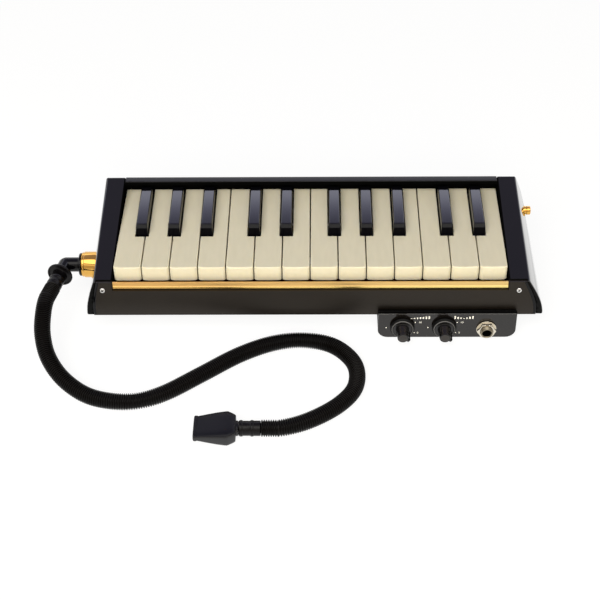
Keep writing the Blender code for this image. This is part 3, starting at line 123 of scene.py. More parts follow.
# What mirrors see at a height, as (sine of the angle up, colour): behind the instrument,
# and in front of it, where the room is darker and a broad lamp hangs 44 to 72 degrees up
BEHIND = [(0.0, "#9C9B99"), (0.42, "#9C9C9D"), (0.54, "#C8C8D0"), (0.565, "#E4E5F8"),
          (0.585, "#DCDDF2"), (0.612, "#A6A6BE"), (0.646, "#747488"), (0.70, "#6A6878"),
          (0.78, "#646170"), (1.0, "#5C5967")]
AHEAD = [(0.0, "#7A756E"), (0.42, "#7A756E"), (0.52, "#B4B2B0"), (0.60, "#8A8780"),
         (0.66, "#5C5967"), (0.70, "#F4F1EA"), (0.95, "#F4F1EA"), (1.0, "#5C5967")]


def height_colours(stops):
    """A ramp read by the direction's height."""
    ramp = add(room, "ValToRGB", links={0: axes.outputs["Z"]})
    while len(ramp.color_ramp.elements) < len(stops):
        ramp.color_ramp.elements.new(0.5)
    for stop, (place, colour) in zip(ramp.color_ramp.elements, stops):
        stop.position, stop.color = place, linear(colour)
    return ramp.outputs["Color"]


# The two halves blend where the direction has turned a little to the front
turned_front = add(room, "MapRange", {"From Min": -0.02, "From Max": -0.16},
                   {"Value": axes.outputs["Y"]})
view = add(room, "MixRGB", links={"Fac": turned_front.outputs["Result"],
                                  "Color1": height_colours(BEHIND),
                                  "Color2": height_colours(AHEAD)})
mirrored = add(room, "Background", {"Strength": 3.0}, {"Color": view.outputs["Color"]})
all_round = add(room, "Background", {"Color": linear("#F6F7FF"), "Strength": 0.19})
seen = add(room, "Background", {"Color": (1.0, 1.0, 1.0, 1.0), "Strength": 1.0})
ray = add(room, "LightPath")
lit = add(room, "MixShader", links={0: ray.outputs["Is Glossy Ray"], 1: all_round.outputs[0],
                                    2: mirrored.outputs[0]})
choice = add(room, "MixShader", links={0: ray.outputs["Is Camera Ray"], 1: lit.outputs[0],
                                       2: seen.outputs[0]})
add(room, "OutputWorld", links={"Surface": choice.outputs[0]})


def soft_box(name, place, size, power, colour):
    """A square lamp at place, in metres, that faces the frame's origin."""
    lamp = bpy.data.lights.new(name, "AREA")
    lamp.shape, lamp.size, lamp.energy = "SQUARE", size, power
    lamp.color = linear(colour)[:3]
    holder = bpy.data.objects.new(name, lamp)
    back = np.array(place) / np.linalg.norm(place)
    side = np.cross([0.0, 1.0, 0.0], back)
    side = side / np.linalg.norm(side)
    matrix = np.eye(4)
    matrix[:3, 0], matrix[:3, 1], matrix[:3, 2] = side, np.cross(back, side), back
    matrix[:3, 3] = place
    holder.matrix_world = Matrix(matrix.tolist())
    holder.visible_glossy = False
    bpy.context.scene.collection.objects.link(holder)


soft_box("front soft box", (-0.3, -1.2, 1.3), 1.3, 33.5, "#FFFCF6")
soft_box("low front fill", (0.2, -1.7, 0.5), 0.9, 15.5, "#FFF5D0")


# The table: a sheet of white laminate.
# The eye and the mirrors see it near white, with a faint shadow of the instrument.
TABLE_HALF = 9.0
table_top = bpy.data.materials.new("white laminate")
table_top.use_nodes = True
tree = table_top.node_tree
tree.nodes.clear()
plain = add(tree, "BsdfDiffuse", {"Color": (0.93, 0.93, 0.93, 1.0)})
pale = add(tree, "BsdfDiffuse", {"Color": (0.16, 0.16, 0.16, 1.0)})
glow = add(tree, "Emission", {"Color": (1.0, 1.0, 1.0, 1.0), "Strength": 0.88})
bright = add(tree, "AddShader", links={0: pale.outputs[0], 1: glow.outputs[0]})
ray = add(tree, "LightPath")
either = add(tree, "Math", links={0: ray.outputs["Is Camera Ray"], 1: ray.outputs["Is Glossy Ray"]},
             operation="MAXIMUM")
pick = add(tree, "MixShader", links={0: either.outputs[0], 1: plain.outputs[0],
                                     2: bright.outputs[0]})
add(tree, "OutputMaterial", links={"Surface": pick.outputs[0]})
sheet = bpy.data.meshes.new("table")
sheet.from_pydata([(-TABLE_HALF, -TABLE_HALF, 0), (TABLE_HALF, -TABLE_HALF, 0),
                   (TABLE_HALF, TABLE_HALF, 0), (-TABLE_HALF, TABLE_HALF, 0)], [], [(0, 1, 2, 3)])
sheet.materials.append(table_top)
table = bpy.data.objects.new("table", sheet)
bpy.context.scene.collection.objects.link(table)


# The ribbed hose, its two cuffs, the elbow and the mouthpiece.
# The hose is black polyethylene blown into rings 1.55 mm apart; the cuffs are soft vinyl and
# push over the elbow and the mouthpiece. It lies on the table in one loose double curve.
# The width in millimetres of the faint clouds of tone in moulded plastic
CLOUD_SIZE = 18.0


def moulded(name, colour, roughness, grain, depth, patch, share, shine=0.5, tint="#FFFFFF"):
    """Moulded plastic: a grain of the given size and depth in millimetres, and cloudy changes
    of tone, towards patch by its share, and of gloss. Shine is the strength of the reflection.
    A real grain is a tenth of a millimetre or less and wouldn't show, so it is drawn coarser."""
    made = bpy.data.materials.new(name)
    made.use_nodes = True
    tree = made.node_tree
    shader = tree.nodes["Principled BSDF"]
    shader.inputs["Specular IOR Level"].default_value = shine
    shader.inputs["Specular Tint"].default_value = linear(tint)
    where = add(tree, "TexCoord").outputs["Object"]
    cloud = add(tree, "TexNoise", {"Scale": 1000.0 / CLOUD_SIZE, "Detail": 3.0}, {"Vector": where})
    tone = add(tree, "ValToRGB", links={0: cloud.outputs["Fac"]})
    tone.color_ramp.elements[0].position, tone.color_ramp.elements[1].position = 0.3, 0.75
    base, other = np.array(linear(colour)), np.array(linear(patch))
    tone.color_ramp.elements[0].color = base.tolist()
    tone.color_ramp.elements[1].color = (base + (other - base) * share).tolist()
    tree.links.new(tone.outputs["Color"], shader.inputs["Base Color"])
    gloss = add(tree, "MapRange", {"To Min": roughness * 0.85, "To Max": roughness * 1.18},
                {"Value": cloud.outputs["Fac"]})
    tree.links.new(gloss.outputs["Result"], shader.inputs["Roughness"])
    speck = add(tree, "TexNoise", {"Scale": 1000.0 / grain, "Detail": 2.0}, {"Vector": where})
    bump = add(tree, "Bump", {"Strength": 1.0, "Distance": depth / 1000.0},
               {"Height": speck.outputs["Fac"]})
    tree.links.new(bump.outputs["Normal"], shader.inputs["Normal"])
    return made


def put(name, shape, finish, body, stands_for=(), crease=38.0):
    """Make a piece of a (points, faces) shape: doubles joined, faces outwards, smooth up to
    the crease angle."""
    points, faces = shape
    mesh = bpy.data.meshes.new(name)
    mesh.from_pydata(((np.asarray(points) + HOME) / 1000.0).tolist(), [], faces)
    work = bmesh.new()
    work.from_mesh(mesh)
    bmesh.ops.remove_doubles(work, verts=work.verts, dist=0.000002)
    bmesh.ops.recalc_face_normals(work, faces=work.faces)
    work.to_mesh(mesh)
    work.free()
    mesh.shade_smooth()
    mesh.set_sharp_from_angle(angle=math.radians(crease))
    mesh.materials.append(finish)
    piece = bpy.data.objects.new(name, mesh)
    bpy.context.scene.collection.objects.link(piece)
    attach(piece, body)
    if stands_for:
        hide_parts(*stands_for)
    return piece


def zoned(piece, finishes, choose):
    """Further finishes for parts of a piece: choose takes a face's centre, in millimetres,
    and its normal, and gives 0 for the first finish or the number of a further one."""
    for finish in finishes:
        piece.data.materials.append(finish)
    for face in piece.data.polygons:
        face.material_index = choose(np.array(face.center) * 1000.0 - HOME, face.normal)


def lofted(rings, closed=False):
    """Quads between successive closed rings of points. The two ends are capped with one face
    each, or joined to each other where the loft is itself a closed loop."""
    rings = np.asarray(rings, float)
    count, around = rings.shape[:2]
    index = np.arange(count * around).reshape(count, around)
    nxt = np.roll(index, -1, axis=0) if closed else index[1:]
    now = index if closed else index[:-1]
    quads = np.stack([now, nxt, np.roll(nxt, -1, 1), np.roll(now, -1, 1)], axis=-1)
    faces = quads.reshape(-1, 4).tolist()
    if not closed:
        faces += [index[0].tolist(), index[-1][::-1].tolist()]
    return rings.reshape(-1, 3), faces


def joined(*shapes):
    """Several shapes as one: their points in a row, and each face's numbers moved up."""
    points, faces, start = [], [], 0
    for shape in shapes:
        points.append(np.asarray(shape[0], float))
        faces += [[i + start for i in face] for face in shape[1]]
        start += len(shape[0])
    return np.concatenate(points), faces


def across(way):
    """Two unit directions square to way and to each other."""
    way = np.asarray(way, float) / np.linalg.norm(way)
    helper = np.array([0.0, 0.0, 1.0]) if abs(way[2]) < 0.9 else np.array([1.0, 0.0, 0.0])
    first = np.cross(helper, way)
    first = first / np.linalg.norm(first)
    return way, first, np.cross(way, first)


def turned(profile, at, way, around=48, hollow=False):
    """A profile of (distance, radius) pairs turned about the line from at along way: each
    ring is at + distance * way + radius * (cos a, sin a) across it."""
    way, first, second = across(way)
    angle = np.linspace(0.0, 2.0 * math.pi, around, endpoint=False)
    circle = np.outer(np.cos(angle), first) + np.outer(np.sin(angle), second)
    profile = np.asarray(profile, float)
    rings = np.asarray(at) + profile[:, 0, None, None] * way + profile[:, 1, None, None] * circle
    return lofted(rings, closed=hollow)


def along(path, radii, around):
    """Circles square to a path: path + radius * (cos a * left + sin a * up), left being level."""
    path = np.asarray(path, float)
    ways = np.gradient(path, axis=0)
    ways = ways / np.linalg.norm(ways, axis=1, keepdims=True)
    side = np.cross([0.0, 0.0, 1.0], ways)
    side = side / np.linalg.norm(side, axis=1, keepdims=True)
    rise = np.cross(ways, side)
    angle = np.linspace(0.0, 2.0 * math.pi, around, endpoint=False)
    circle = (np.cos(angle)[None, :, None] * side[:, None, :]
              + np.sin(angle)[None, :, None] * rise[:, None, :])
    return path[:, None, :] + np.asarray(radii)[:, None, None] * circle


def smooth_route(points, start_way, end_way, step):
    """A Catmull-Rom curve through the points, resampled at even steps along its length."""
    knots = np.vstack([points[0] - start_way, points, points[-1] + end_way])
    t = np.linspace(0.0, 1.0, 24, endpoint=False)[None, :, None]
    a, b, c, d = (knots[i:len(knots) - 3 + i, None, :] for i in range(4))
    fine = 0.5 * (2 * b + (c - a) * t + (2 * a - 5 * b + 4 * c - d) * t ** 2
                  + (3 * b - 3 * c + d - a) * t ** 3)
    fine = np.vstack([fine.reshape(-1, 3), knots[-2]])
    run = np.concatenate([[0.0], np.cumsum(np.linalg.norm(np.diff(fine, axis=0), axis=1))])
    even = np.linspace(0.0, run[-1], max(2, round(run[-1] / step)) + 1)
    return np.stack([np.interp(even, run, fine[:, i]) for i in range(3)], axis=1)


SOCKET_Y, SOCKET_Z, SOCKET_END_X = 28.0, 32.5, -166.8
ELBOW_CORNER = np.array([-179.3, SOCKET_Y, SOCKET_Z])
LEG_TURN = math.radians(77.0)
LEG_WAY = np.array([-math.cos(LEG_TURN), -math.sin(LEG_TURN), 0.0])
ELBOW_END = ELBOW_CORNER + LEG_WAY * 10.1
CUFF_LENGTH = 15.8
HOSE_START = ELBOW_END + LEG_WAY * (CUFF_LENGTH + 0.6)
HOSE_RADIUS, HOSE_BORE_RADIUS = 5.9, 4.0
RIB_PITCH = 1.55
# Five rings of points to a rib: two deep in the valley and three on the rounded crest
RIB_RADII = [4.8, 4.8, 5.65, 5.85, 5.65]
HOSE_AROUND = 28
MOUTH = np.array([-32.7, -112.2, 6.0])
MOUTH_WAY = np.array([-1.0, 0.0, 0.0])
HOSE_ROUTE = np.array([
    (-189.2, -22.0, 28.6), (-188.0, -38.0, 23.2), (-182.6, -54.0, 16.4),
    (-171.0, -69.0, 10.4), (-154.0, -81.0, 6.6), (-135.0, -86.6, 6.0), (-117.0, -86.0, 6.0),
    (-99.0, -78.0, 6.0), (-76.0, -60.5, 6.0), (-50.0, -40.5, 6.0), (-26.0, -28.5, 6.0),
    (-4.0, -25.5, 6.0), (17.0, -32.0, 6.0), (31.0, -50.0, 6.0), (31.5, -72.0, 6.0),
    (20.0, -90.0, 6.0), (-0.5, -105.0, 6.0)])
knots = np.vstack([HOSE_START + LEG_WAY * 2.0 * HOSE_RADIUS, HOSE_ROUTE,
                   MOUTH - MOUTH_WAY * 2.0 * HOSE_RADIUS])
middle = smooth_route(knots, LEG_WAY * 20.0, MOUTH_WAY * 20.0, 0.4)
lead_in = HOSE_START + np.linspace(0.0, 2.0 * HOSE_RADIUS, 28, endpoint=False)[:, None] * LEG_WAY
lead_out = MOUTH - np.linspace(2.0 * HOSE_RADIUS, 0.0, 29)[1:, None] * MOUTH_WAY
hose_line = np.vstack([lead_in, middle, lead_out])
run = np.concatenate([[0.0], np.cumsum(np.linalg.norm(np.diff(hose_line, axis=0), axis=1))])
ribs = round(run[-1] / RIB_PITCH)
steps = np.linspace(0.0, run[-1], len(RIB_RADII) * ribs + 1)
hose_line = np.stack([np.interp(steps, run, hose_line[:, i]) for i in range(3)], axis=1)
outside = along(hose_line, np.append(np.tile(RIB_RADII, ribs), RIB_RADII[0]), HOSE_AROUND)
# Blown polyethylene keeps a satin skin, so each crest shows one thin light; vinyl is as dark
hose_black = moulded("black polyethylene hose", "#050404", 0.30, 0.5, 0.006, "#090706", 0.6, 0.15)
vinyl = moulded("soft black vinyl", "#070607", 0.30, 0.6, 0.006, "#0C0A0C", 0.5, 0.2)


def tube_wall(outer, inner):
    """Outer rings, then inner rings coming back, closed into one wall with two flat ends."""
    return lofted(np.concatenate([outer, inner]), closed=True)


rib_places = hose_line[::len(RIB_RADII)]
bore_radii = np.full(len(rib_places), HOSE_BORE_RADIUS)
far_rim = along(hose_line[-2:], bore_radii[:2], HOSE_AROUND)[1:]
bore = along(rib_places, bore_radii, HOSE_AROUND)[::-1]
hose = put("ribbed_hose", tube_wall(outside, np.concatenate([far_rim, bore])), hose_black,
           "hose_set", ("hose",), crease=60.0)

# Both cuffs are profiles of (distance, radius) from the fitting to the hose. The hose cuff
# has a wide finger collar, and each has low beads that grip
cuff_ring = [(0.0, 8.6), (0.3, 9.1), (0.8, 9.37), (1.6, 9.37), (2.05, 9.15), (2.2, 8.7), (2.1, 8.3),
             (1.5, 7.9), (1.35, 6.6), (1.8, 5.6), (2.6, 5.2), (6.4, 5.2), (6.8, 5.5), (7.1, 5.6),
             (8.9, 5.6), (9.2, 5.5), (9.6, 5.2), (11.2, 5.2), (11.6, 5.5), (11.9, 5.6), (13.6, 5.6),
             (13.9, 5.5), (14.3, 5.2), (15.5, 5.2), (15.8, 4.9), (15.8, 4.1), (0.0, 4.1)]
cuff = put("hose_cuff_collar", turned(cuff_ring, ELBOW_END + LEG_WAY * 0.3, LEG_WAY, 56, hollow=True),
           vinyl, "hose_set", ("hose_cuff",))
mouth_ring = [(0.0, 4.9), (0.3, 5.2), (4.6, 5.2), (4.9, 5.5), (5.4, 5.6), (6.4, 5.6), (6.8, 5.3),
              (7.1, 5.1), (11.9, 5.1), (12.3, 5.5), (12.9, 5.6), (14.0, 5.5), (14.4, 5.1),
              (14.8, 4.9), (14.8, 4.1), (0.0, 4.1)]
mouth_cuff = put("mouth_cuff_collar", turned(mouth_ring, MOUTH + MOUTH_WAY * 0.3, MOUTH_WAY, 56,
                                             hollow=True),
                 vinyl, "hose_set", ("mouth_cuff",))

# The mouthpiece: rounded boxes across its axis, flat above and below, down to a thin bit.
# It is black rubber, dull on top; its sides and underside are smoother, and painted a touch lighter
# as sheen
elastomer = moulded("black mouthpiece rubber", "#06060B", 0.42, 0.4, 0.006, "#0B0B13", 0.5, 0.2)
MOUTH_CUFF_LENGTH = 14.8
ROOT_X = MOUTH[0] - 0.6 - MOUTH_CUFF_LENGTH
# Each row: distance from the root, half width, half height, and the power n of the box's
# outline |y| ** n + |z| ** n = 1, which is squarer with a higher n
stations = np.array([
    (0.0, 5.4, 4.6, 2.0), (0.6, 5.6, 4.8, 2.0), (1.4, 5.6, 4.8, 2.0), (1.6, 9.5, 4.9, 3.6),
    (2.2, 9.9, 5.3, 4.0), (3.6, 10.65, 5.6, 4.4), (5.6, 11.7, 5.8, 4.6), (7.2, 12.5, 5.8, 4.8),
    (9.0, 12.4, 5.7, 4.8), (14.0, 11.9, 5.0, 5.0), (20.0, 11.1, 4.0, 5.0), (26.0, 10.3, 2.9, 4.6),
    (27.4, 10.1, 2.7, 4.4), (27.8, 10.4, 3.0, 4.4), (29.2, 10.4, 3.0, 4.4), (29.8, 10.1, 2.7, 4.0),
    (30.0, 9.6, 2.3, 3.6)])
angle = np.linspace(0.0, 2.0 * math.pi, 72, endpoint=False)
power = 2.0 / stations[:, 3, None]
wide = np.sign(np.cos(angle)) * np.abs(np.cos(angle)) ** power * stations[:, 1, None]
tall = np.sign(np.sin(angle)) * np.abs(np.sin(angle)) ** power * stations[:, 2, None]
outer = np.stack([ROOT_X - stations[:, 0, None] + 0 * wide, MOUTH[1] + wide, MOUTH[2] + tall], -1)
mouth_hole = np.array([(30.0, 6.0, 1.3), (29.0, 6.0, 1.3), (24.0, 3.4, 2.0), (0.0, 2.2, 2.2)])
wide = np.cos(angle) * mouth_hole[:, 1, None]
tall = np.sin(angle) * mouth_hole[:, 2, None]
inner = np.stack([ROOT_X - mouth_hole[:, 0, None] + 0 * wide, MOUTH[1] + wide, MOUTH[2] + tall], -1)
mouthpiece = put("mouthpiece_bit", tube_wall(outer, inner), elastomer, "hose_set",
                 ("mouthpiece",), crease=30.0)
# The sides' copy of the rubber: really smoother, and a touch lighter as painted sheen
smooth_lit_side = moulded("smooth mouthpiece side with painted sheen", "#08080B", 0.34, 0.4, 0.003, "#0D0D11", 0.5, 0.6)
zoned(mouthpiece, [smooth_lit_side], lambda at, normal: int(normal[2] < 0.6))

# The elbow: a glossy moulded tube with a mitred corner, a flange at the socket, and a plug in
# the cuff
gloss_black = moulded("glossy black ABS", "#030304", 0.08, 0.8, 0.0006, "#060608", 0.5, 0.24)
corner = np.array([SOCKET_END_X - 0.3, SOCKET_Y, SOCKET_Z])


def mitred(centres, radii, around):
    """Rings round a bent line. At a bend the ring lies on the plane that halves it, and is
    wider across the bend by one over the cosine of half the turn."""
    centres = np.asarray(centres, float)
    legs = np.diff(centres, axis=0)
    legs = legs / np.linalg.norm(legs, axis=1, keepdims=True)
    came, goes = np.vstack([legs[:1], legs]), np.vstack([legs, legs[-1:]])
    side = np.cross([0.0, 0.0, 1.0], came + goes)
    side = side / np.linalg.norm(side, axis=1, keepdims=True)
    side = side / np.sqrt((1.0 + np.sum(came * goes, axis=1, keepdims=True)) / 2.0)
    angle = np.linspace(0.0, 2.0 * math.pi, around, endpoint=False)
    circle = (np.cos(angle)[None, :, None] * side[:, None, :]
              + np.sin(angle)[None, :, None] * np.array([0.0, 0.0, 1.0]))
    return centres[:, None, :] + np.asarray(radii)[:, None, None] * circle


first_bend, second_bend = ELBOW_CORNER + [0.6, 0.0, 0.0], ELBOW_CORNER + LEG_WAY * 0.6
elbow_path = [corner + [-0.8, 0.0, 0.0], corner + [-2.2, 0.0, 0.0], corner + [-2.6, 0.0, 0.0],
              first_bend + [0.15, 0.0, 0.0], first_bend + 0.2 * (second_bend - first_bend)]
elbow_path += [second_bend + 0.2 * (first_bend - second_bend), second_bend + LEG_WAY * 0.15,
               ELBOW_END - LEG_WAY * 0.4, ELBOW_END]
elbow_tube = lofted(mitred(elbow_path, [5.8, 5.6, 5.3, 5.3, 5.3, 5.3, 5.3, 5.3, 5.0], 56))
flange = turned([(0.0, 8.0), (0.3, 8.4), (1.2, 8.4), (1.6, 8.1)], corner, MOUTH_WAY, 56)
spigot = turned([(-7.2, 4.3), (-6.8, 4.7), (-5.2, 4.7), (-5.0, 4.3), (-3.8, 4.3), (-3.6, 4.7),
                 (0.4, 4.7)], corner, MOUTH_WAY, 40)
plug = turned([(-1.0, 3.7), (7.6, 3.7), (8.0, 3.4)], ELBOW_END, LEG_WAY, 40)
elbow = put("elbow_body", joined(elbow_tube, flange, spigot, plug), gloss_black, "hose_set",
            ("elbow",), crease=22.0)


# The white keys.
# Injection-moulded ivory-coloured plastic caps, hollow underneath, each with a lever behind
# that hangs on the pivot rod and ends in a felted pad. Their front edges bow out a little.
KEY_PITCH, KEY_GAP = 20.0, 0.8
KEY_TOP, KEY_FRONT_LOW, HEAD_END, KEY_REAR = 52.5, 40.5, 35.6, 92.6
NOTES = "F2 G2 A2 B2 C3 D3 E3 F3 G3 A3 B3 C4 D4 E4".split()
BLACK_OFFSET = {"F": -2.4, "G": 1.0, "A": 4.6, "C": -0.8, "D": 2.6}
BLACK_X = {note[0] + "s" + note[1]: (number - 6) * KEY_PITCH + BLACK_OFFSET[note[0]]
           for number, note in enumerate(NOTES[:-1]) if note[0] in BLACK_OFFSET}
BLACK_HALF, BLACK_SLOT = 4.4, 0.5

# Ivory-coloured ABS: satin and a little milky, with faint streaks along the key and fine pits,
# both drawn coarser than they are, so that they show
ivory = bpy.data.materials.new("ivory key plastic")
ivory.use_nodes = True
tree = ivory.node_tree
shader = tree.nodes["Principled BSDF"]
where = add(tree, "TexCoord").outputs["Object"]
stretch = add(tree, "Mapping", {"Scale": (1.0, 0.25, 1.0)}, {"Vector": where})
streak = add(tree, "TexNoise", {"Scale": 1000.0 / 4.0, "Detail": 4.0},
             {"Vector": stretch.outputs[0]})
shade = add(tree, "ValToRGB", links={0: streak.outputs["Fac"]})
shade.color_ramp.elements[0].position, shade.color_ramp.elements[1].position = 0.25, 0.8
shade.color_ramp.elements[0].color = linear("#D2CBB5")
shade.color_ramp.elements[1].color = linear("#D8D1BB")
tree.links.new(shade.outputs["Color"], shader.inputs["Base Color"])
shader.inputs["Specular IOR Level"].default_value = 0.2
shader.inputs["Subsurface Weight"].default_value = 0.15
shader.inputs["Subsurface Radius"].default_value = (1.0, 0.75, 0.4)
shader.inputs["Subsurface Scale"].default_value = 0.0015
rough = add(tree, "MapRange", {"To Min": 0.30, "To Max": 0.42}, {"Value": streak.outputs["Fac"]})
tree.links.new(rough.outputs["Result"], shader.inputs["Roughness"])
pit = add(tree, "TexNoise", {"Scale": 1000.0 / 0.9, "Detail": 2.0}, {"Vector": where})
dimple = add(tree, "Bump", {"Strength": 1.0, "Distance": 0.000003},
             {"Height": pit.outputs["Fac"]})
tree.links.new(dimple.outputs["Normal"], shader.inputs["Normal"])


def inset(outline, distance):
    """A flat outline moved inwards by distance at each point, along its mitred normals."""
    edge = np.roll(outline, -1, 0) - outline
    edge = edge / np.linalg.norm(edge, axis=1, keepdims=True)
    normal = np.stack([edge[:, 1], -edge[:, 0]], -1)
    before = np.roll(normal, 1, 0)
    mitre = (normal + before) / (1.0 + np.sum(normal * before, 1, keepdims=True))
    return outline - mitre * np.asarray(distance)[:, None]


def side_prism(profile, left, right):
    """A (y, z) profile carried across from left to right, with flat ends."""
    profile = np.asarray(profile, float)
    rings = [np.column_stack([np.full(len(profile), x), profile]) for x in (left, right)]
    return lofted(rings)


LEVER_TOP = 46.2


def lever(left, right, front):
    """Lever under a key: open hook over the rod, raised tail, and a pad over the valve."""
    return side_prism([
        (front, LEVER_TOP), (front, 46.0), (front + 2.5, 43.0), (53.0, 43.0), (56.0, 40.6),
        (58.1, 40.6), (58.1, 45.4), (61.9, 45.4), (61.9, 40.6), (64.0, 40.6), (67.0, 42.4),
        (73.5, 42.4), (73.5, 39.0), (83.5, 39.0), (83.5, 42.4), (92.6, 42.4),
        (92.6, LEVER_TOP)], left, right)


def white_cap(left, right, stem_left, stem_right, draw):
    """Key cap: the plan outline carried up its side, then round a quarter turn to the top. The
    front edge bows by 0.25 * t ** 2 + 1.15 * |t| ** 14, with t from -1 to 1 across the key.
    Draw is how far the left side has come in at the rear."""
    t = np.linspace(-1.0, 1.0, 25)
    mid, half = (left + right) / 2.0, (right - left) / 2.0
    front = np.column_stack([mid + half * t, 0.25 * t ** 2 + 1.15 * np.abs(t) ** 14])
    rear = [(right, HEAD_END)]
    if stem_right < right:
        rear += [(stem_right + 0.4, HEAD_END), (stem_right, HEAD_END + 0.4)]
    rear += [(stem_right, KEY_REAR), (stem_left + draw, KEY_REAR)]
    if stem_left > left:
        rear += [(stem_left, HEAD_END + 0.4), (stem_left - 0.4, HEAD_END)]
    rear += [(left + draw * HEAD_END / KEY_REAR, HEAD_END)]
    outline = np.vstack([front, rear])
    # The edge's radius grows from 0.4 to 0.85 mm over the front 3 mm, and behind the head the
    # cap is shallower
    facing = np.clip(1.0 - outline[:, 1] / 3.0, 0.0, 1.0)
    radius = 0.4 + 0.45 * facing
    low = np.where(outline[:, 1] > HEAD_END - 0.1, 46.0, KEY_FRONT_LOW)
    rings = [np.column_stack([inset(outline, 0.25 + 0 * radius), low]),
             np.column_stack([outline, low + 0.3]),
             np.column_stack([outline, KEY_TOP - radius - 0.3])]
    for turn in np.linspace(0.0, math.pi / 2.0, 6):
        rings.append(np.column_stack([inset(outline, radius * (1.0 - math.cos(turn))),
                                      KEY_TOP - radius * (1.0 - math.sin(turn))]))
    rings.append(np.column_stack([inset(outline, radius + 0.25), KEY_TOP + 0 * radius]))
    return lofted(rings)


near = np.array(list(BLACK_X.values()))
reach = BLACK_HALF + BLACK_SLOT
for number, note in enumerate(NOTES):
    left = (number - 7) * KEY_PITCH + KEY_GAP / 2.0
    right = (number - 6) * KEY_PITCH - KEY_GAP / 2.0
    stem_left = max([left] + (near[np.abs(near - left) < 10.0] + reach).tolist())
    stem_right = min([right] + (near[np.abs(near - right) < 10.0] - reach).tolist())
    # The first key's left side follows the cheek, which leans in
    draw, margin = (0.0, 0.8) if number else (0.9, 1.2)
    cap = white_cap(left, right, stem_left, stem_right, draw)
    arm = lever(stem_left + margin, stem_right - 0.8, 37.0)
    put("white_" + note, joined(cap, arm), ivory, "white_key_" + note,
        ("white_key_" + note,))


# The black keys.
# Polished black plastic, with steep flanks, a short slope down to the front and soft edges.
# Each stands between two white keys, and its lever hangs on the same rod as theirs.
ebony = moulded("polished black key plastic", "#050508", 0.09, 1.2, 0.0006, "#09090D", 0.6, 0.5)
# Only the tops are polished, and the slope a little: the flanks and the front keep the dull
# skin of the mould
tree = ebony.node_tree
facing = add(tree, "SeparateXYZ", links={0: add(tree, "TexCoord").outputs["Normal"]})
top = add(tree, "MapRange", {"From Min": 0.8, "From Max": 0.97, "To Min": 0.03, "To Max": 0.62},
          {"Value": facing.outputs["Z"]})
slant = add(tree, "Math", links={0: facing.outputs["Y"], 1: facing.outputs["Z"]},
            operation="MULTIPLY")
slope = add(tree, "MapRange", {"From Min": -0.25, "From Max": -0.48, "To Min": 0.0, "To Max": 0.11},
            {"Value": slant.outputs[0]})
level = add(tree, "Math", links={0: top.outputs["Result"], 1: slope.outputs["Result"]})
tree.links.new(level.outputs[0], tree.nodes["Principled BSDF"].inputs["Specular IOR Level"])


BLACK_TOP, BLACK_REAR, BLACK_CORNER = 61.0, 84.6, 0.6
CROWN, CROWN_MIDDLE = 0.0005, 62.0


def black_cap(centre):
    """Stacked outlines: narrower with height, their front edge moving back, drawn in over the
    last half millimetre. The top is crowned along the key by CROWN * (y - CROWN_MIDDLE) ** 2."""
    height = np.array([46.0, 52.5, 57.6, 58.3, 58.55, 58.8, 59.05, 59.5, 60.1, 60.35, 60.6,
                       60.78, 60.9, 60.97, BLACK_TOP, BLACK_TOP])
    front = np.interp(height, [46.0, 58.5, 58.8, 60.6, 61.0], [36.72, 37.1, 37.3, 39.3, 40.2])
    drawn = np.where(height > 60.3, 0.7 - np.sqrt(np.clip(0.49 - (height - 60.3) ** 2, 0, 1)), 0.0)
    drawn[-1] += 0.3
    front[-1] += 0.3
    half = BLACK_HALF - 0.45 * np.clip((height - 52.5) / 8.5, 0.0, 1.0) - drawn
    rear = BLACK_REAR - drawn
    # One side from front to rear: a round corner, a long straight, and a round corner
    turn, r = np.linspace(0.0, math.pi / 2.0, 5), BLACK_CORNER
    inward = np.concatenate([r - r * np.sin(turn), np.zeros(14), r - r * np.cos(turn)])
    share = np.concatenate([np.zeros(5), np.linspace(0.06, 0.94, 14), np.ones(5)])
    shift = np.concatenate([r - r * np.cos(turn), np.zeros(14), r * np.sin(turn) - r])
    y = front[:, None] + (rear - front)[:, None] * share + shift
    across_x = half[:, None] - inward
    bend = np.clip((height[:, None] - 58.8) / 2.2, 0.0, 1.0)
    z = height[:, None] - CROWN * (y - CROWN_MIDDLE) ** 2 * bend
    right = np.stack([centre + across_x, y, z], -1)
    left = np.stack([centre - across_x, y, z], -1)[:, ::-1]
    rings = np.concatenate([right, left], axis=1)
    points, faces = lofted(rings)
    count = rings.shape[1]
    # Quads from side to side close the top
    last = (len(rings) - 1) * count
    slats = [[last + k, last + k + 1, last + count - 2 - k, last + count - 1 - k]
             for k in range(count // 2 - 1)]
    return points, faces[:-1] + slats


for note, x in BLACK_X.items():
    arm = lever(x - 4.2, x + 4.2, 40.0)
    tail = side_prism([(83.6, 42.6), (92.6, 42.6), (92.6, 52.4), (83.6, 52.4)], x - 4.2, x + 4.2)
    put("black_" + note, joined(black_cap(x), arm, tail), ebony, "black_key_" + note,
        ("black_key_" + note,))


# The case: two cheeks, the front panel, the rear rail and the lower case.
# Black ABS mouldings with a satin skin; the cheeks' flanks are lacquered to a mirror gloss.
def tidied(node, name, finish):
    """A solid of the part as a piece: its loose faces joined, so that it shades smoothly."""
    source = frame["nodes"][node]
    mesh = source.data.copy()
    mesh.name = name
    work = bmesh.new()
    work.from_mesh(mesh)
    bmesh.ops.remove_doubles(work, verts=work.verts, dist=0.00001)
    bmesh.ops.dissolve_limit(work, angle_limit=math.radians(0.5), verts=work.verts,
                             edges=work.edges)
    work.to_mesh(mesh)
    work.free()
    mesh.materials.clear()
    mesh.materials.append(finish)
    mesh.shade_smooth()
    mesh.set_sharp_from_angle(angle=math.radians(30.0))
    piece = bpy.data.objects.new(name, mesh)
    bpy.context.scene.collection.objects.link(piece)
    weigh = piece.modifiers.new("Weigh", "WEIGHTED_NORMAL")
    weigh.keep_sharp = True
    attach(piece, source["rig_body"])
    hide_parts(node)
    return piece


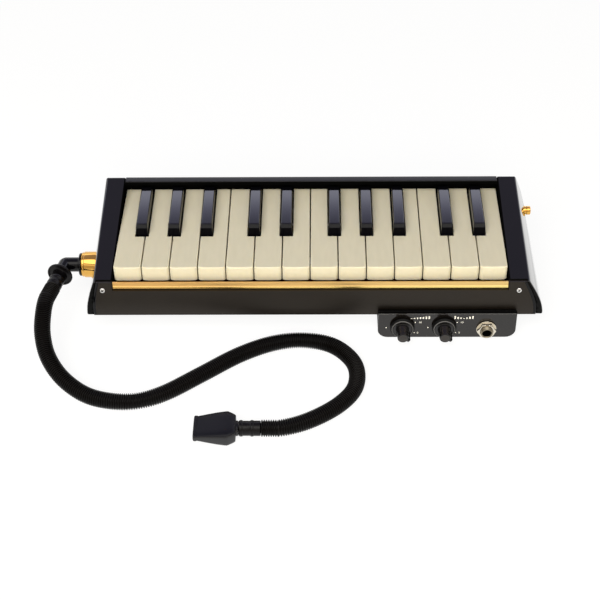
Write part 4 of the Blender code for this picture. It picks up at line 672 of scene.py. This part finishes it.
# Polished ABS mirrors the room, and the lacquered flanks do so more. The cheeks' edges keep the
# dull skin of the mould, and the satin shell shows only broad, soft lights
cheek_black = moulded("polished black ABS", "#060607", 0.06, 1.5, 0.0004, "#09090B", 0.6, 0.5)
mirror_black = moulded("lacquered black flank", "#060607", 0.04, 2.0, 0.0002, "#09090B", 0.6, 0.9)
shader = mirror_black.node_tree.nodes["Principled BSDF"]
shader.inputs["Coat Weight"].default_value = 1.0
shader.inputs["Coat Roughness"].default_value = 0.03
edge_black = moulded("dull black moulded edge", "#050505", 0.45, 0.4, 0.004, "#090909", 0.6, 0.12)
raw_black = moulded("unpolished black ABS", "#040404", 0.80, 0.4, 0.006, "#080808", 0.6, 0.01)
shell_black = moulded("satin black ABS", "#070606", 0.34, 0.35, 0.004, "#0C0A0A", 0.6, 0.4)
panel_black = moulded("satin black front panel", "#0D0A08", 0.40, 0.35, 0.003, "#14100C", 0.6,
                      0.42, "#FFF4E6")


def cheek_zone(outward, forward):
    """A cheek is mirror bright outside, raw inside, dull in front, and polished on top."""
    if outward > 0.5:
        return 1
    if outward < -0.3:
        return 3
    return 2 if forward > 0.6 else 0


for side, node in ((-1.0, "left_cheek"), (1.0, "right_cheek")):
    cheek = tidied(node, node.replace("_", "_end_"), cheek_black)
    zoned(cheek, [mirror_black, edge_black, raw_black],
          lambda at, normal: cheek_zone(normal[0] * side, -normal[1]))
tidied("front_panel", "front_panel_plate", panel_black)
tidied("lower_case", "lower_case_tray", shell_black)

# Half-round black beads close the front panel's slanted ends, along the panel's curve. The
# panel's ends are given at nine even heights from its bottom to its top
PANEL_LOW, PANEL_HIGH = 18.5, 44.9
LEFT_END = [155.1, 155.4, 155.4, 155.2, 154.8, 154.3, 153.6, 152.8, 151.9]
RIGHT_END = [161.0, 161.2, 161.0, 160.4, 159.4, 158.2, 156.7, 155.1, 153.4]
BEAD_RADIUS, BEAD_FLATNESS = 1.0, 0.35
bead_z = np.linspace(PANEL_LOW + 0.9, PANEL_HIGH - 0.3, 16)
bead_y = -7.4 - 4.6 * np.sin((45.4 - bead_z) / 26.9 * math.pi / 2.0)
for side, panel_end in ((-1.0, LEFT_END), (1.0, RIGHT_END)):
    end_x = np.interp(bead_z, np.linspace(PANEL_LOW, PANEL_HIGH, 9), panel_end) - BEAD_RADIUS
    bead = along(np.column_stack([side * end_x, bead_y, bead_z]), np.full(16, BEAD_RADIUS), 20)
    bead[:, :, 1] = bead_y[:, None] + (bead[:, :, 1] - bead_y[:, None]) * BEAD_FLATNESS
    put("panel_end_bead", lofted(bead), gloss_black, "housing")

# The rail, the flared rear wall and the bottom ledge are one section, carried from cheek to cheek
SHELL_LOW, SHELL_HIGH, REAR_Y, REAR_FLARE = 18.5, 65.0, 91.3, 9.0


def rear_face(z):
    """The rear wall's Y at a height: a quarter sine wave out to the flare at the bottom."""
    return REAR_Y + REAR_FLARE * np.sin((SHELL_HIGH - z) / (SHELL_HIGH - SHELL_LOW) * math.pi / 2.0)


def rounded(corner, before, after, radius):
    """Points of an arc, near enough, that takes a corner off by radius: a quadratic curve."""
    corner, before, after = (np.array(p, float) for p in (corner, before, after))
    a = corner + (before - corner) / np.linalg.norm(before - corner) * radius
    b = corner + (after - corner) / np.linalg.norm(after - corner) * radius
    t = np.linspace(0.0, 1.0, 5)[:, None]
    return (a * (1.0 - t) ** 2 + 2.0 * corner * t * (1.0 - t) + b * t ** 2).tolist()


drop = np.linspace(SHELL_HIGH - 1.5, SHELL_LOW + 1.5, 28)
wall_out = np.column_stack([rear_face(drop), drop])
drop = np.linspace(20.5, 61.5, 28)
wall_in = np.column_stack([rear_face(drop) - 1.8, drop])
foot_y = float(rear_face(SHELL_LOW))
section = (rounded((85.0, 65.0), (85.0, 61.5), (91.3, 65.0), 0.8)
           + rounded((91.3, 65.0), (85.0, 65.0), wall_out[0], 0.9) + wall_out.tolist()
           + rounded((foot_y, 18.5), wall_out[-1], (88.5, 18.5), 0.8)
           + [(88.5, 18.5), (88.5, 20.5)] + wall_in.tolist()
           + rounded((85.0, 61.5), (90.0, 61.5), (85.0, 65.0), 0.6))
# Its ends lean in with the cheeks over the top 5.8 mm, by more on the left than on the right
RAIL_HALF, LEAN_HEIGHT = 140.33, 5.8125
ends = []
for side, lean in ((-1.0, 2.2), (1.0, 1.3)):
    below = SHELL_HIGH - np.array(section)[:, 1]
    half_length = np.minimum(RAIL_HALF, RAIL_HALF - lean + lean / LEAN_HEIGHT * below)
    ends.append(np.column_stack([side * half_length, section]))
rail = put("rear_rail_bar", lofted(ends), shell_black, "housing", ("rear_rail",), crease=30.0)
zoned(rail, [raw_black], lambda at, normal: int(normal[1] < -0.7))


# The gold strip in front of the keys.
# Folded anodised aluminium, brushed along its length, so that a light on it spreads across it.
def brushed(name, colour, roughness, line, way, depth, far_reflection_colour=None):
    """Brushed metal: noise drawn out along one axis (way), with lines of the given width and
    depth in millimetres. The colour may shift towards far_reflection_colour from X = -140 mm
    to X = 140 mm, a painted reflection of a room brighter on one side. Real lines are
    about 0.05 mm wide and wouldn't show, so they are drawn coarser."""
    made = bpy.data.materials.new(name)
    made.use_nodes = True
    tree = made.node_tree
    shader = tree.nodes["Principled BSDF"]
    shader.inputs["Metallic"].default_value = 1.0
    where = add(tree, "TexCoord").outputs["Object"]
    scale = [1.0, 1.0, 1.0]
    scale[way] = 0.01
    drawn = add(tree, "Mapping", {"Scale": scale}, {"Vector": where})
    lines = add(tree, "TexNoise", {"Scale": 1000.0 / line, "Detail": 3.0},
                {"Vector": drawn.outputs[0]})
    place = add(tree, "SeparateXYZ", links={0: where})
    along_x = add(tree, "MapRange", {"From Min": -0.14, "From Max": 0.14},
                  {"Value": place.outputs["X"]})
    shift = add(tree, "ValToRGB", links={0: along_x.outputs["Result"]})
    shift.color_ramp.elements[0].color = linear(colour)
    shift.color_ramp.elements[1].color = linear(far_reflection_colour or colour)
    worn = add(tree, "ValToRGB", links={0: lines.outputs["Fac"]})
    worn.color_ramp.elements[0].color = (0.9, 0.9, 0.9, 1.0)
    tone = add(tree, "MixRGB", {"Fac": 1.0}, {"Color1": shift.outputs["Color"],
                                            "Color2": worn.outputs["Color"]}, blend_type="MULTIPLY")
    tree.links.new(tone.outputs["Color"], shader.inputs["Base Color"])
    gloss = add(tree, "MapRange", {"To Min": roughness * 0.8, "To Max": roughness * 1.25},
                {"Value": lines.outputs["Fac"]})
    tree.links.new(gloss.outputs["Result"], shader.inputs["Roughness"])
    bump = add(tree, "Bump", {"Strength": 1.0, "Distance": depth / 1000.0},
               {"Height": lines.outputs["Fac"]})
    tree.links.new(bump.outputs["Normal"], shader.inputs["Normal"])
    return made


# Its lower edge is folded forwards into a polished ridge 2.6 mm high
# Both golds shift in tone from left to right as a painted reflection; the ridge's paler yellow at the
# right is painted reflection too
gold = brushed("brushed gold anodised aluminium", "#FFC878", 0.38, 0.25, 0, 0.0004, "#F0CE86")
bright_gold = brushed("polished gold anodised ridge", "#F0C070", 0.24, 0.25, 0, 0.0002, "#FFE892")
STRIP_HALF = 140.1
strip_section = [(-6.2, 39.1), (-6.2, 44.8), (-7.15, 44.8), (-7.35, 44.7), (-7.4, 44.5),
                 (-7.4, 42.1), (-7.5, 41.85), (-7.75, 41.6), (-7.8, 41.4), (-7.8, 39.4),
                 (-7.75, 39.2), (-7.6, 39.1)]
strip = put("gold_front_strip", side_prism(strip_section, -STRIP_HALF, STRIP_HALF), gold, "housing",
            ("front_trim",), crease=20.0)
zoned(strip, [bright_gold], lambda at, normal: int(at[2] < 41.7))


# The mouth socket and the drain button: turned and lacquered brass.
# The socket is pressed into the left cheek, and the button's stem slides in the right one.
# Clear lacquer keeps the brass a warm mirror, and the lathe's lines barely show
brass = brushed("polished lacquered brass", "#EDB75C", 0.09, 0.6, 1, 0.0003)
SEAT_X = -155.6
BUTTON_AT = (156.4, 80.0, 41.0)
socket = [(0.0, 9.5), (8.9, 9.5), (9.1, 9.42), (9.25, 9.2), (9.5, 9.0), (10.3, 9.0), (10.7, 8.95),
          (11.0, 8.8), (11.2, 8.5), (11.2, 5.2), (-6.0, 5.2), (-6.0, 7.0), (0.0, 7.0)]
put("brass_mouth_socket", turned(socket, (SEAT_X, SOCKET_Y, SOCKET_Z), MOUTH_WAY, 72, hollow=True),
    brass, "housing", ("mouth_socket",), crease=28.0)
button = [(-9.8, 0.9), (-9.4, 1.3), (0.0, 1.3), (0.0, 3.1), (0.3, 3.3), (5.2, 3.3), (5.5, 3.0),
          (5.9, 3.0), (6.2, 3.3), (8.3, 3.3), (8.7, 3.1), (8.95, 2.6), (9.0, 2.0), (8.7, 1.6)]
put("brass_drain_button", turned(button, BUTTON_AT, (1.0, 0.0, 0.0), 48), brass,
    "drain_button", ("drain_button",), crease=28.0)


# The control box with its panel, knobs and jack.
# A folded steel panel, painted black with a grey painted highlight along its top edge, covers a plain
# black box.
# The knobs are moulded and sit on the shafts; the jack is held by its hexagon nut.
BOX_FRONT, BOX_LEFT, BOX_RIGHT = -17.0, 49.2, 146.4
box_and_shade_black = moulded("dull black control box and painted shade", "#040404", 0.50, 0.4, 0.004, "#070707", 0.6, 0.04)
paint_black = moulded("polished black control panel", "#0E0C0B", 0.11, 0.6, 0.0022, "#161311",
                      0.6, 0.55)
# Grey paint standing in for highlights: the light along the panel's top edge and round the knobs'
# skirt rims
grey_highlight_paint = moulded("grey highlight painted on black edges", "#5A5959", 0.35, 0.5, 0.002, "#4A4949",
                    0.8, 0.4)
tidied("control_box", "control_box_shell", box_and_shade_black)
panel_plate = tidied("control_panel", "control_panel_plate", paint_black)
# The plate's top face takes the box's dull black: painted shade for the dark gap under the case
zoned(panel_plate, [box_and_shade_black], lambda at, normal: int(normal[2] > 0.7))
arris = [(-17.0, 23.05), (-17.08, 23.2), (-16.65, 23.8), (-16.5, 23.7)]
put("panel_top_arris", side_prism(arris, BOX_LEFT, BOX_RIGHT), grey_highlight_paint, "housing")

knob_black = moulded("black knob plastic", "#070607", 0.22, 0.5, 0.003, "#0D0C0C", 0.6, 0.5)
# The knob tip is painted grey as the sheen its shallow dish catches
tip_sheen_grey = moulded("knob tip with painted sheen", "#2A2725", 0.35, 0.5, 0.002, "#1E1C1A", 0.8, 0.4)
KNOBS = {"volume": 65.9, "balance": 95.8}
KNOB_Z, POINTER_TURN = 11.6, math.radians(125.0)


def knob(x):
    """Cone skirt, tapered grip and domed tip turned about the shaft, with a pointer rib."""
    profile = [(1.2, 8.5), (1.35, 8.8), (2.0, 8.8), (3.35, 7.75), (3.7, 7.55), (3.8, 7.3),
               (3.8, 7.0), (3.55, 6.6), (3.55, 5.4), (3.8, 5.0), (4.2, 4.85), (12.2, 4.0),
               (12.9, 3.85), (13.15, 3.5), (13.2, 3.1), (13.1, 2.8), (13.25, 2.3), (13.4, 1.2),
               (13.4, 0.2)]
    centre = np.array([x, BOX_FRONT, KNOB_Z])
    body = turned(profile, centre, (0.0, -1.0, 0.0), 72)
    out = np.array([math.sin(POINTER_TURN), 0.0, math.cos(POINTER_TURN)])
    side = np.array([math.cos(POINTER_TURN), 0.0, -math.sin(POINTER_TURN)])
    rib = np.array([(3.6, 0.0), (3.6, 6.2), (11.9, 6.0), (12.6, 5.5), (12.8, 4.7), (12.8, 0.0)])
    rings = [centre - rib[:, :1] * [0.0, 1.0, 0.0] + rib[:, 1:] * out + side * shift
             for shift in (-0.75, 0.75)]
    return joined(body, lofted(rings))


def knob_zone(out, radius):
    """The skirt's cone is dull, its rim painted grey as a highlight, the tip painted grey as the
    sheen its dish catches, the rest is the grip.
    """
    if 7.25 < radius < 7.8 and out > 3.3:
        return 2
    if radius < 3.2 and out > 12.9:
        return 3
    return 1 if radius >= 7.8 else 0


for kind, x in KNOBS.items():
    turning = put(kind + "_turning_knob", knob(x), knob_black, kind + "_knob", (kind + "_knob",),
                  crease=32.0)
    zoned(turning, [edge_black, grey_highlight_paint, tip_sheen_grey], lambda at, normal: knob_zone(
        BOX_FRONT - at[1], math.hypot(at[0] - x, at[2] - KNOB_Z)))

# The jack: nickelled brass. Its barrel is threaded, 0.5 mm to a turn, with a black bore.
# Nickel is a slightly warm mirror, and the thread's fine edges dull it
nickel = brushed("bright nickel plate", "#E4DCCB", 0.10, 0.7, 1, 0.0004)
thread_nickel = brushed("dull nickel thread", "#8F8674", 0.24, 0.7, 1, 0.0004)
JACK_X, JACK_Z = 126.1, 9.5
FORWARD = (0.0, -1.0, 0.0)
jack_at = (JACK_X, BOX_FRONT, JACK_Z)
THREAD_PITCH = 0.5
barrel = [(2.0, 4.5), (2.3, 4.5)]
for crest in np.arange(2.6, 5.6, THREAD_PITCH):
    barrel += [(crest, 4.5), (crest + THREAD_PITCH / 2.0, 4.25)]
barrel += [(5.7, 4.3), (6.0, 4.0), (6.0, 3.6), (5.6, 3.25), (-20.0, 3.25), (-20.0, 5.2),
           (-2.3, 5.2), (-2.3, 4.5)]
put("jack_barrel", turned(barrel, jack_at, FORWARD, 56, hollow=True), thread_nickel, "housing",
    ("output_jack",), crease=28.0)
# The nut: a hexagon whose corners are turned off by a cone, so each ring is the lesser of both
NUT_FLAT, NUT_AROUND = 5.95, 72
turn = np.linspace(0.0, 2.0 * math.pi, NUT_AROUND, endpoint=False)
hexagon = NUT_FLAT / np.cos((turn + math.pi / 6.0) % (math.pi / 3.0) - math.pi / 6.0)
nut_rings = []
for out, reach in ((1.1, np.minimum(hexagon, 6.75)), (1.4, np.minimum(hexagon, 6.9)),
                   (3.3, np.minimum(hexagon, 6.9)), (3.6, np.minimum(hexagon, 6.4)),
                   (3.9, np.minimum(hexagon, 5.9)), (3.9, 4.8), (1.1, 4.8)):
    nut_rings.append(np.column_stack([JACK_X + reach * np.sin(turn),
                                      np.full(NUT_AROUND, BOX_FRONT - out),
                                      JACK_Z + reach * np.cos(turn)]))
washer = turned([(0.3, 7.0), (0.4, 7.1), (1.0, 7.1), (1.1, 7.0), (1.1, 4.8), (0.3, 4.8)], jack_at,
                FORWARD, 64, hollow=True)
put("jack_hex_nut", joined(lofted(np.array(nut_rings), closed=True), washer), nickel, "housing",
    ("jack_nut",), crease=20.0)

bore_and_recess_black = moulded("black jack insulator and recess shade", "#040404", 0.5, 0.5, 0.004, "#070707", 0.5, 0.1)
liner = turned([(5.4, 3.22), (5.4, 2.95), (-19.5, 2.95), (-19.8, 0.3), (-20.0, 0.3),
                (-20.0, 3.22)], jack_at, FORWARD, 40, hollow=True)
put("jack_bore_liner", liner, bore_and_recess_black, "housing")


# The screws: chromed pan heads with cross recesses.
# Two hold the front panel, and four hold the lower case from below.
SCREW_HEAD = [(-0.2, 1.9), (0.35, 1.9), (0.7, 1.75), (0.95, 1.4), (1.08, 0.8), (1.1, 0.1)]
ARM_LENGTH, ARM_WIDTH = 1.15, 0.27
chrome = brushed("chromed screw steel", "#F4F2EE", 0.16, 0.4, 0, 0.0003)


def screw(at, way):
    """A pan head 3.8 mm across, and its cross recess drawn as four flat black arms 0.02 mm above it:
    painted shade.
    """
    way, first, second = across(way)
    head = turned(SCREW_HEAD, at, way, 32)
    arms = []
    for angle in (0.6, 0.6 + math.pi / 2.0):
        long = math.cos(angle) * first + math.sin(angle) * second
        wide = np.cross(way, long)
        corners = [long * a * ARM_LENGTH + wide * b * ARM_WIDTH
                   for a, b in ((-1, -1), (1, -1), (1, 1), (-1, 1))]
        arms.append(lofted([[np.asarray(at) + corner + way * out for corner in corners]
                            for out in (0.6, 1.12)]))
    return head, arms


PANEL_TILT = math.radians(13.5)
PANEL_WAY = (0.0, -math.cos(PANEL_TILT), math.sin(PANEL_TILT))
places = [((-147.5, -9.0, 39.3), PANEL_WAY), ((147.9, -9.15, 38.7), PANEL_WAY)]
places += [((x, y, 1.5), (0.0, 0.0, -1.0)) for x in (-140.0, 140.0) for y in (18.0, 82.0)]
heads, recess_shades = [], []
for at, way in places:
    head, arms = screw(at, way)
    heads.append(head)
    recess_shades += arms
put("case_screws", joined(*heads), chrome, "housing")
# The cross recesses are flat black marks on the heads: painted shade for their depth
put("screw_recess_shade", joined(*recess_shades), bore_and_recess_black, "housing")


# The printed marks, in white ink on the control panel.
# A dot and a number stand at each end of a knob's turn, and a row of plain bars above it.
ink = bpy.data.materials.new("white silk-screen ink")
ink.use_nodes = True
shader = ink.node_tree.nodes["Principled BSDF"]
shader.inputs["Base Color"].default_value = linear("#E8E6E0")
shader.inputs["Roughness"].default_value = 0.5
speck = add(ink.node_tree, "TexNoise", {"Scale": 1000.0 / 0.3},
            {"Vector": add(ink.node_tree, "TexCoord").outputs["Object"]})
raised = add(ink.node_tree, "Bump", {"Strength": 1.0, "Distance": 0.00001},
             {"Height": speck.outputs["Fac"]})
ink.node_tree.links.new(raised.outputs["Normal"], shader.inputs["Normal"])


FIGURE_SIZE = 2.3


def printed(figures, x, z):
    """Flat figures on the panel's face, 0.05 mm proud, made a mesh with its place applied."""
    curve = bpy.data.curves.new(figures, "FONT")
    curve.body, curve.size, curve.extrude = figures, FIGURE_SIZE, 0.03
    curve.align_x, curve.align_y = "CENTER", "CENTER"
    holder = bpy.data.objects.new(figures, curve)
    bpy.context.scene.collection.objects.link(holder)
    bpy.context.view_layer.update()
    seen = holder.evaluated_get(bpy.context.evaluated_depsgraph_get())
    mesh = bpy.data.meshes.new_from_object(seen)
    bpy.data.objects.remove(holder, do_unlink=True)
    flat = np.zeros(len(mesh.vertices) * 3)
    mesh.vertices.foreach_get("co", flat)
    flat = flat.reshape(-1, 3)
    points = np.column_stack([x + flat[:, 0], BOX_FRONT - 0.02 - flat[:, 2], z + flat[:, 1]])
    faces = [list(face.vertices) for face in mesh.polygons]
    bpy.data.meshes.remove(mesh)
    return points, faces


def dot(x, z):
    """A round dot 0.9 mm across and 0.05 mm proud."""
    return turned([(0.0, 0.45), (0.05, 0.45)], (x, BOX_FRONT, z), FORWARD, 20)


def bars(middle, heights):
    """Upright bars of the given heights on one line, 1 mm wide and 2.1 mm apart."""
    shapes = []
    for place, height in enumerate(heights):
        x = middle + (place - (len(heights) - 1) / 2.0) * BAR_PITCH
        ring = [(x - 0.5, BAR_LINE), (x + 0.5, BAR_LINE), (x + 0.5, BAR_LINE + height),
                (x - 0.5, BAR_LINE + height)]
        shapes.append(lofted([[(corner_x, y, z) for corner_x, z in ring]
                              for y in (BOX_FRONT, BOX_FRONT - 0.05)]))
    return shapes


BAR_PITCH, BAR_LINE = 2.1, 18.6
marks = bars(78.6, np.linspace(0.6, 2.6, 7)) + bars(109.6, [2.6, 1.9, 1.2, 0.6, 1.2, 1.9, 2.6])
for kind, x in KNOBS.items():
    marks += [dot(x + 9.2, 15.2), printed("10", x + 12.6, 15.2),
              dot(x + 8.7, 5.4), printed("0", x + 11.2, 5.3), dot(x - 11.5, 10.3)]
put("printed_marks", joined(*marks), ink, "housing", ())


# Inside and underneath: bed, rod, springs, felt, valves, reeds, chamber and feet.
# These stay as the solids give them and take their own finishes.
def dress(finish, *nodes):
    """Give the part's own solids a finish in place of theirs."""
    for node in nodes:
        mesh = frame["nodes"][node].data
        mesh.materials.clear()
        mesh.materials.append(finish)


inner_black = moulded("matt black moulded ABS", "#0B0B0C", 0.6, 0.5, 0.008, "#121213", 0.6, 0.3)
steel = brushed("bright spring steel", "#C9C6BF", 0.25, 0.3, 0, 0.001)
rubber = moulded("black rubber", "#181818", 0.75, 0.3, 0.02, "#242424", 0.5)
felt = moulded("dark red key felt", "#1E0A0A", 0.95, 0.25, 0.12, "#2A0F0F", 0.9, 0.1)
board = moulded("green circuit board", "#1D5A34", 0.4, 1.2, 0.005, "#2A7443", 0.7)
reed_brass = brushed("rolled reed brass", "#D8A84C", 0.3, 0.4, 1, 0.001)
dress(inner_black, "keybed", "valve_block", "wind_chamber")
dress(steel, "key_pivot_rod", "key_springs", "drain_spring", "volume_pot", "balance_pot",
      "volume_shaft", "balance_shaft")
dress(rubber, "chamber_gasket", "front_foot", "rear_foot")
dress(felt, "stop_felt")
dress(board, "pickup_board")
dress(reed_brass, "low_reed_plate", "high_reed_plate")
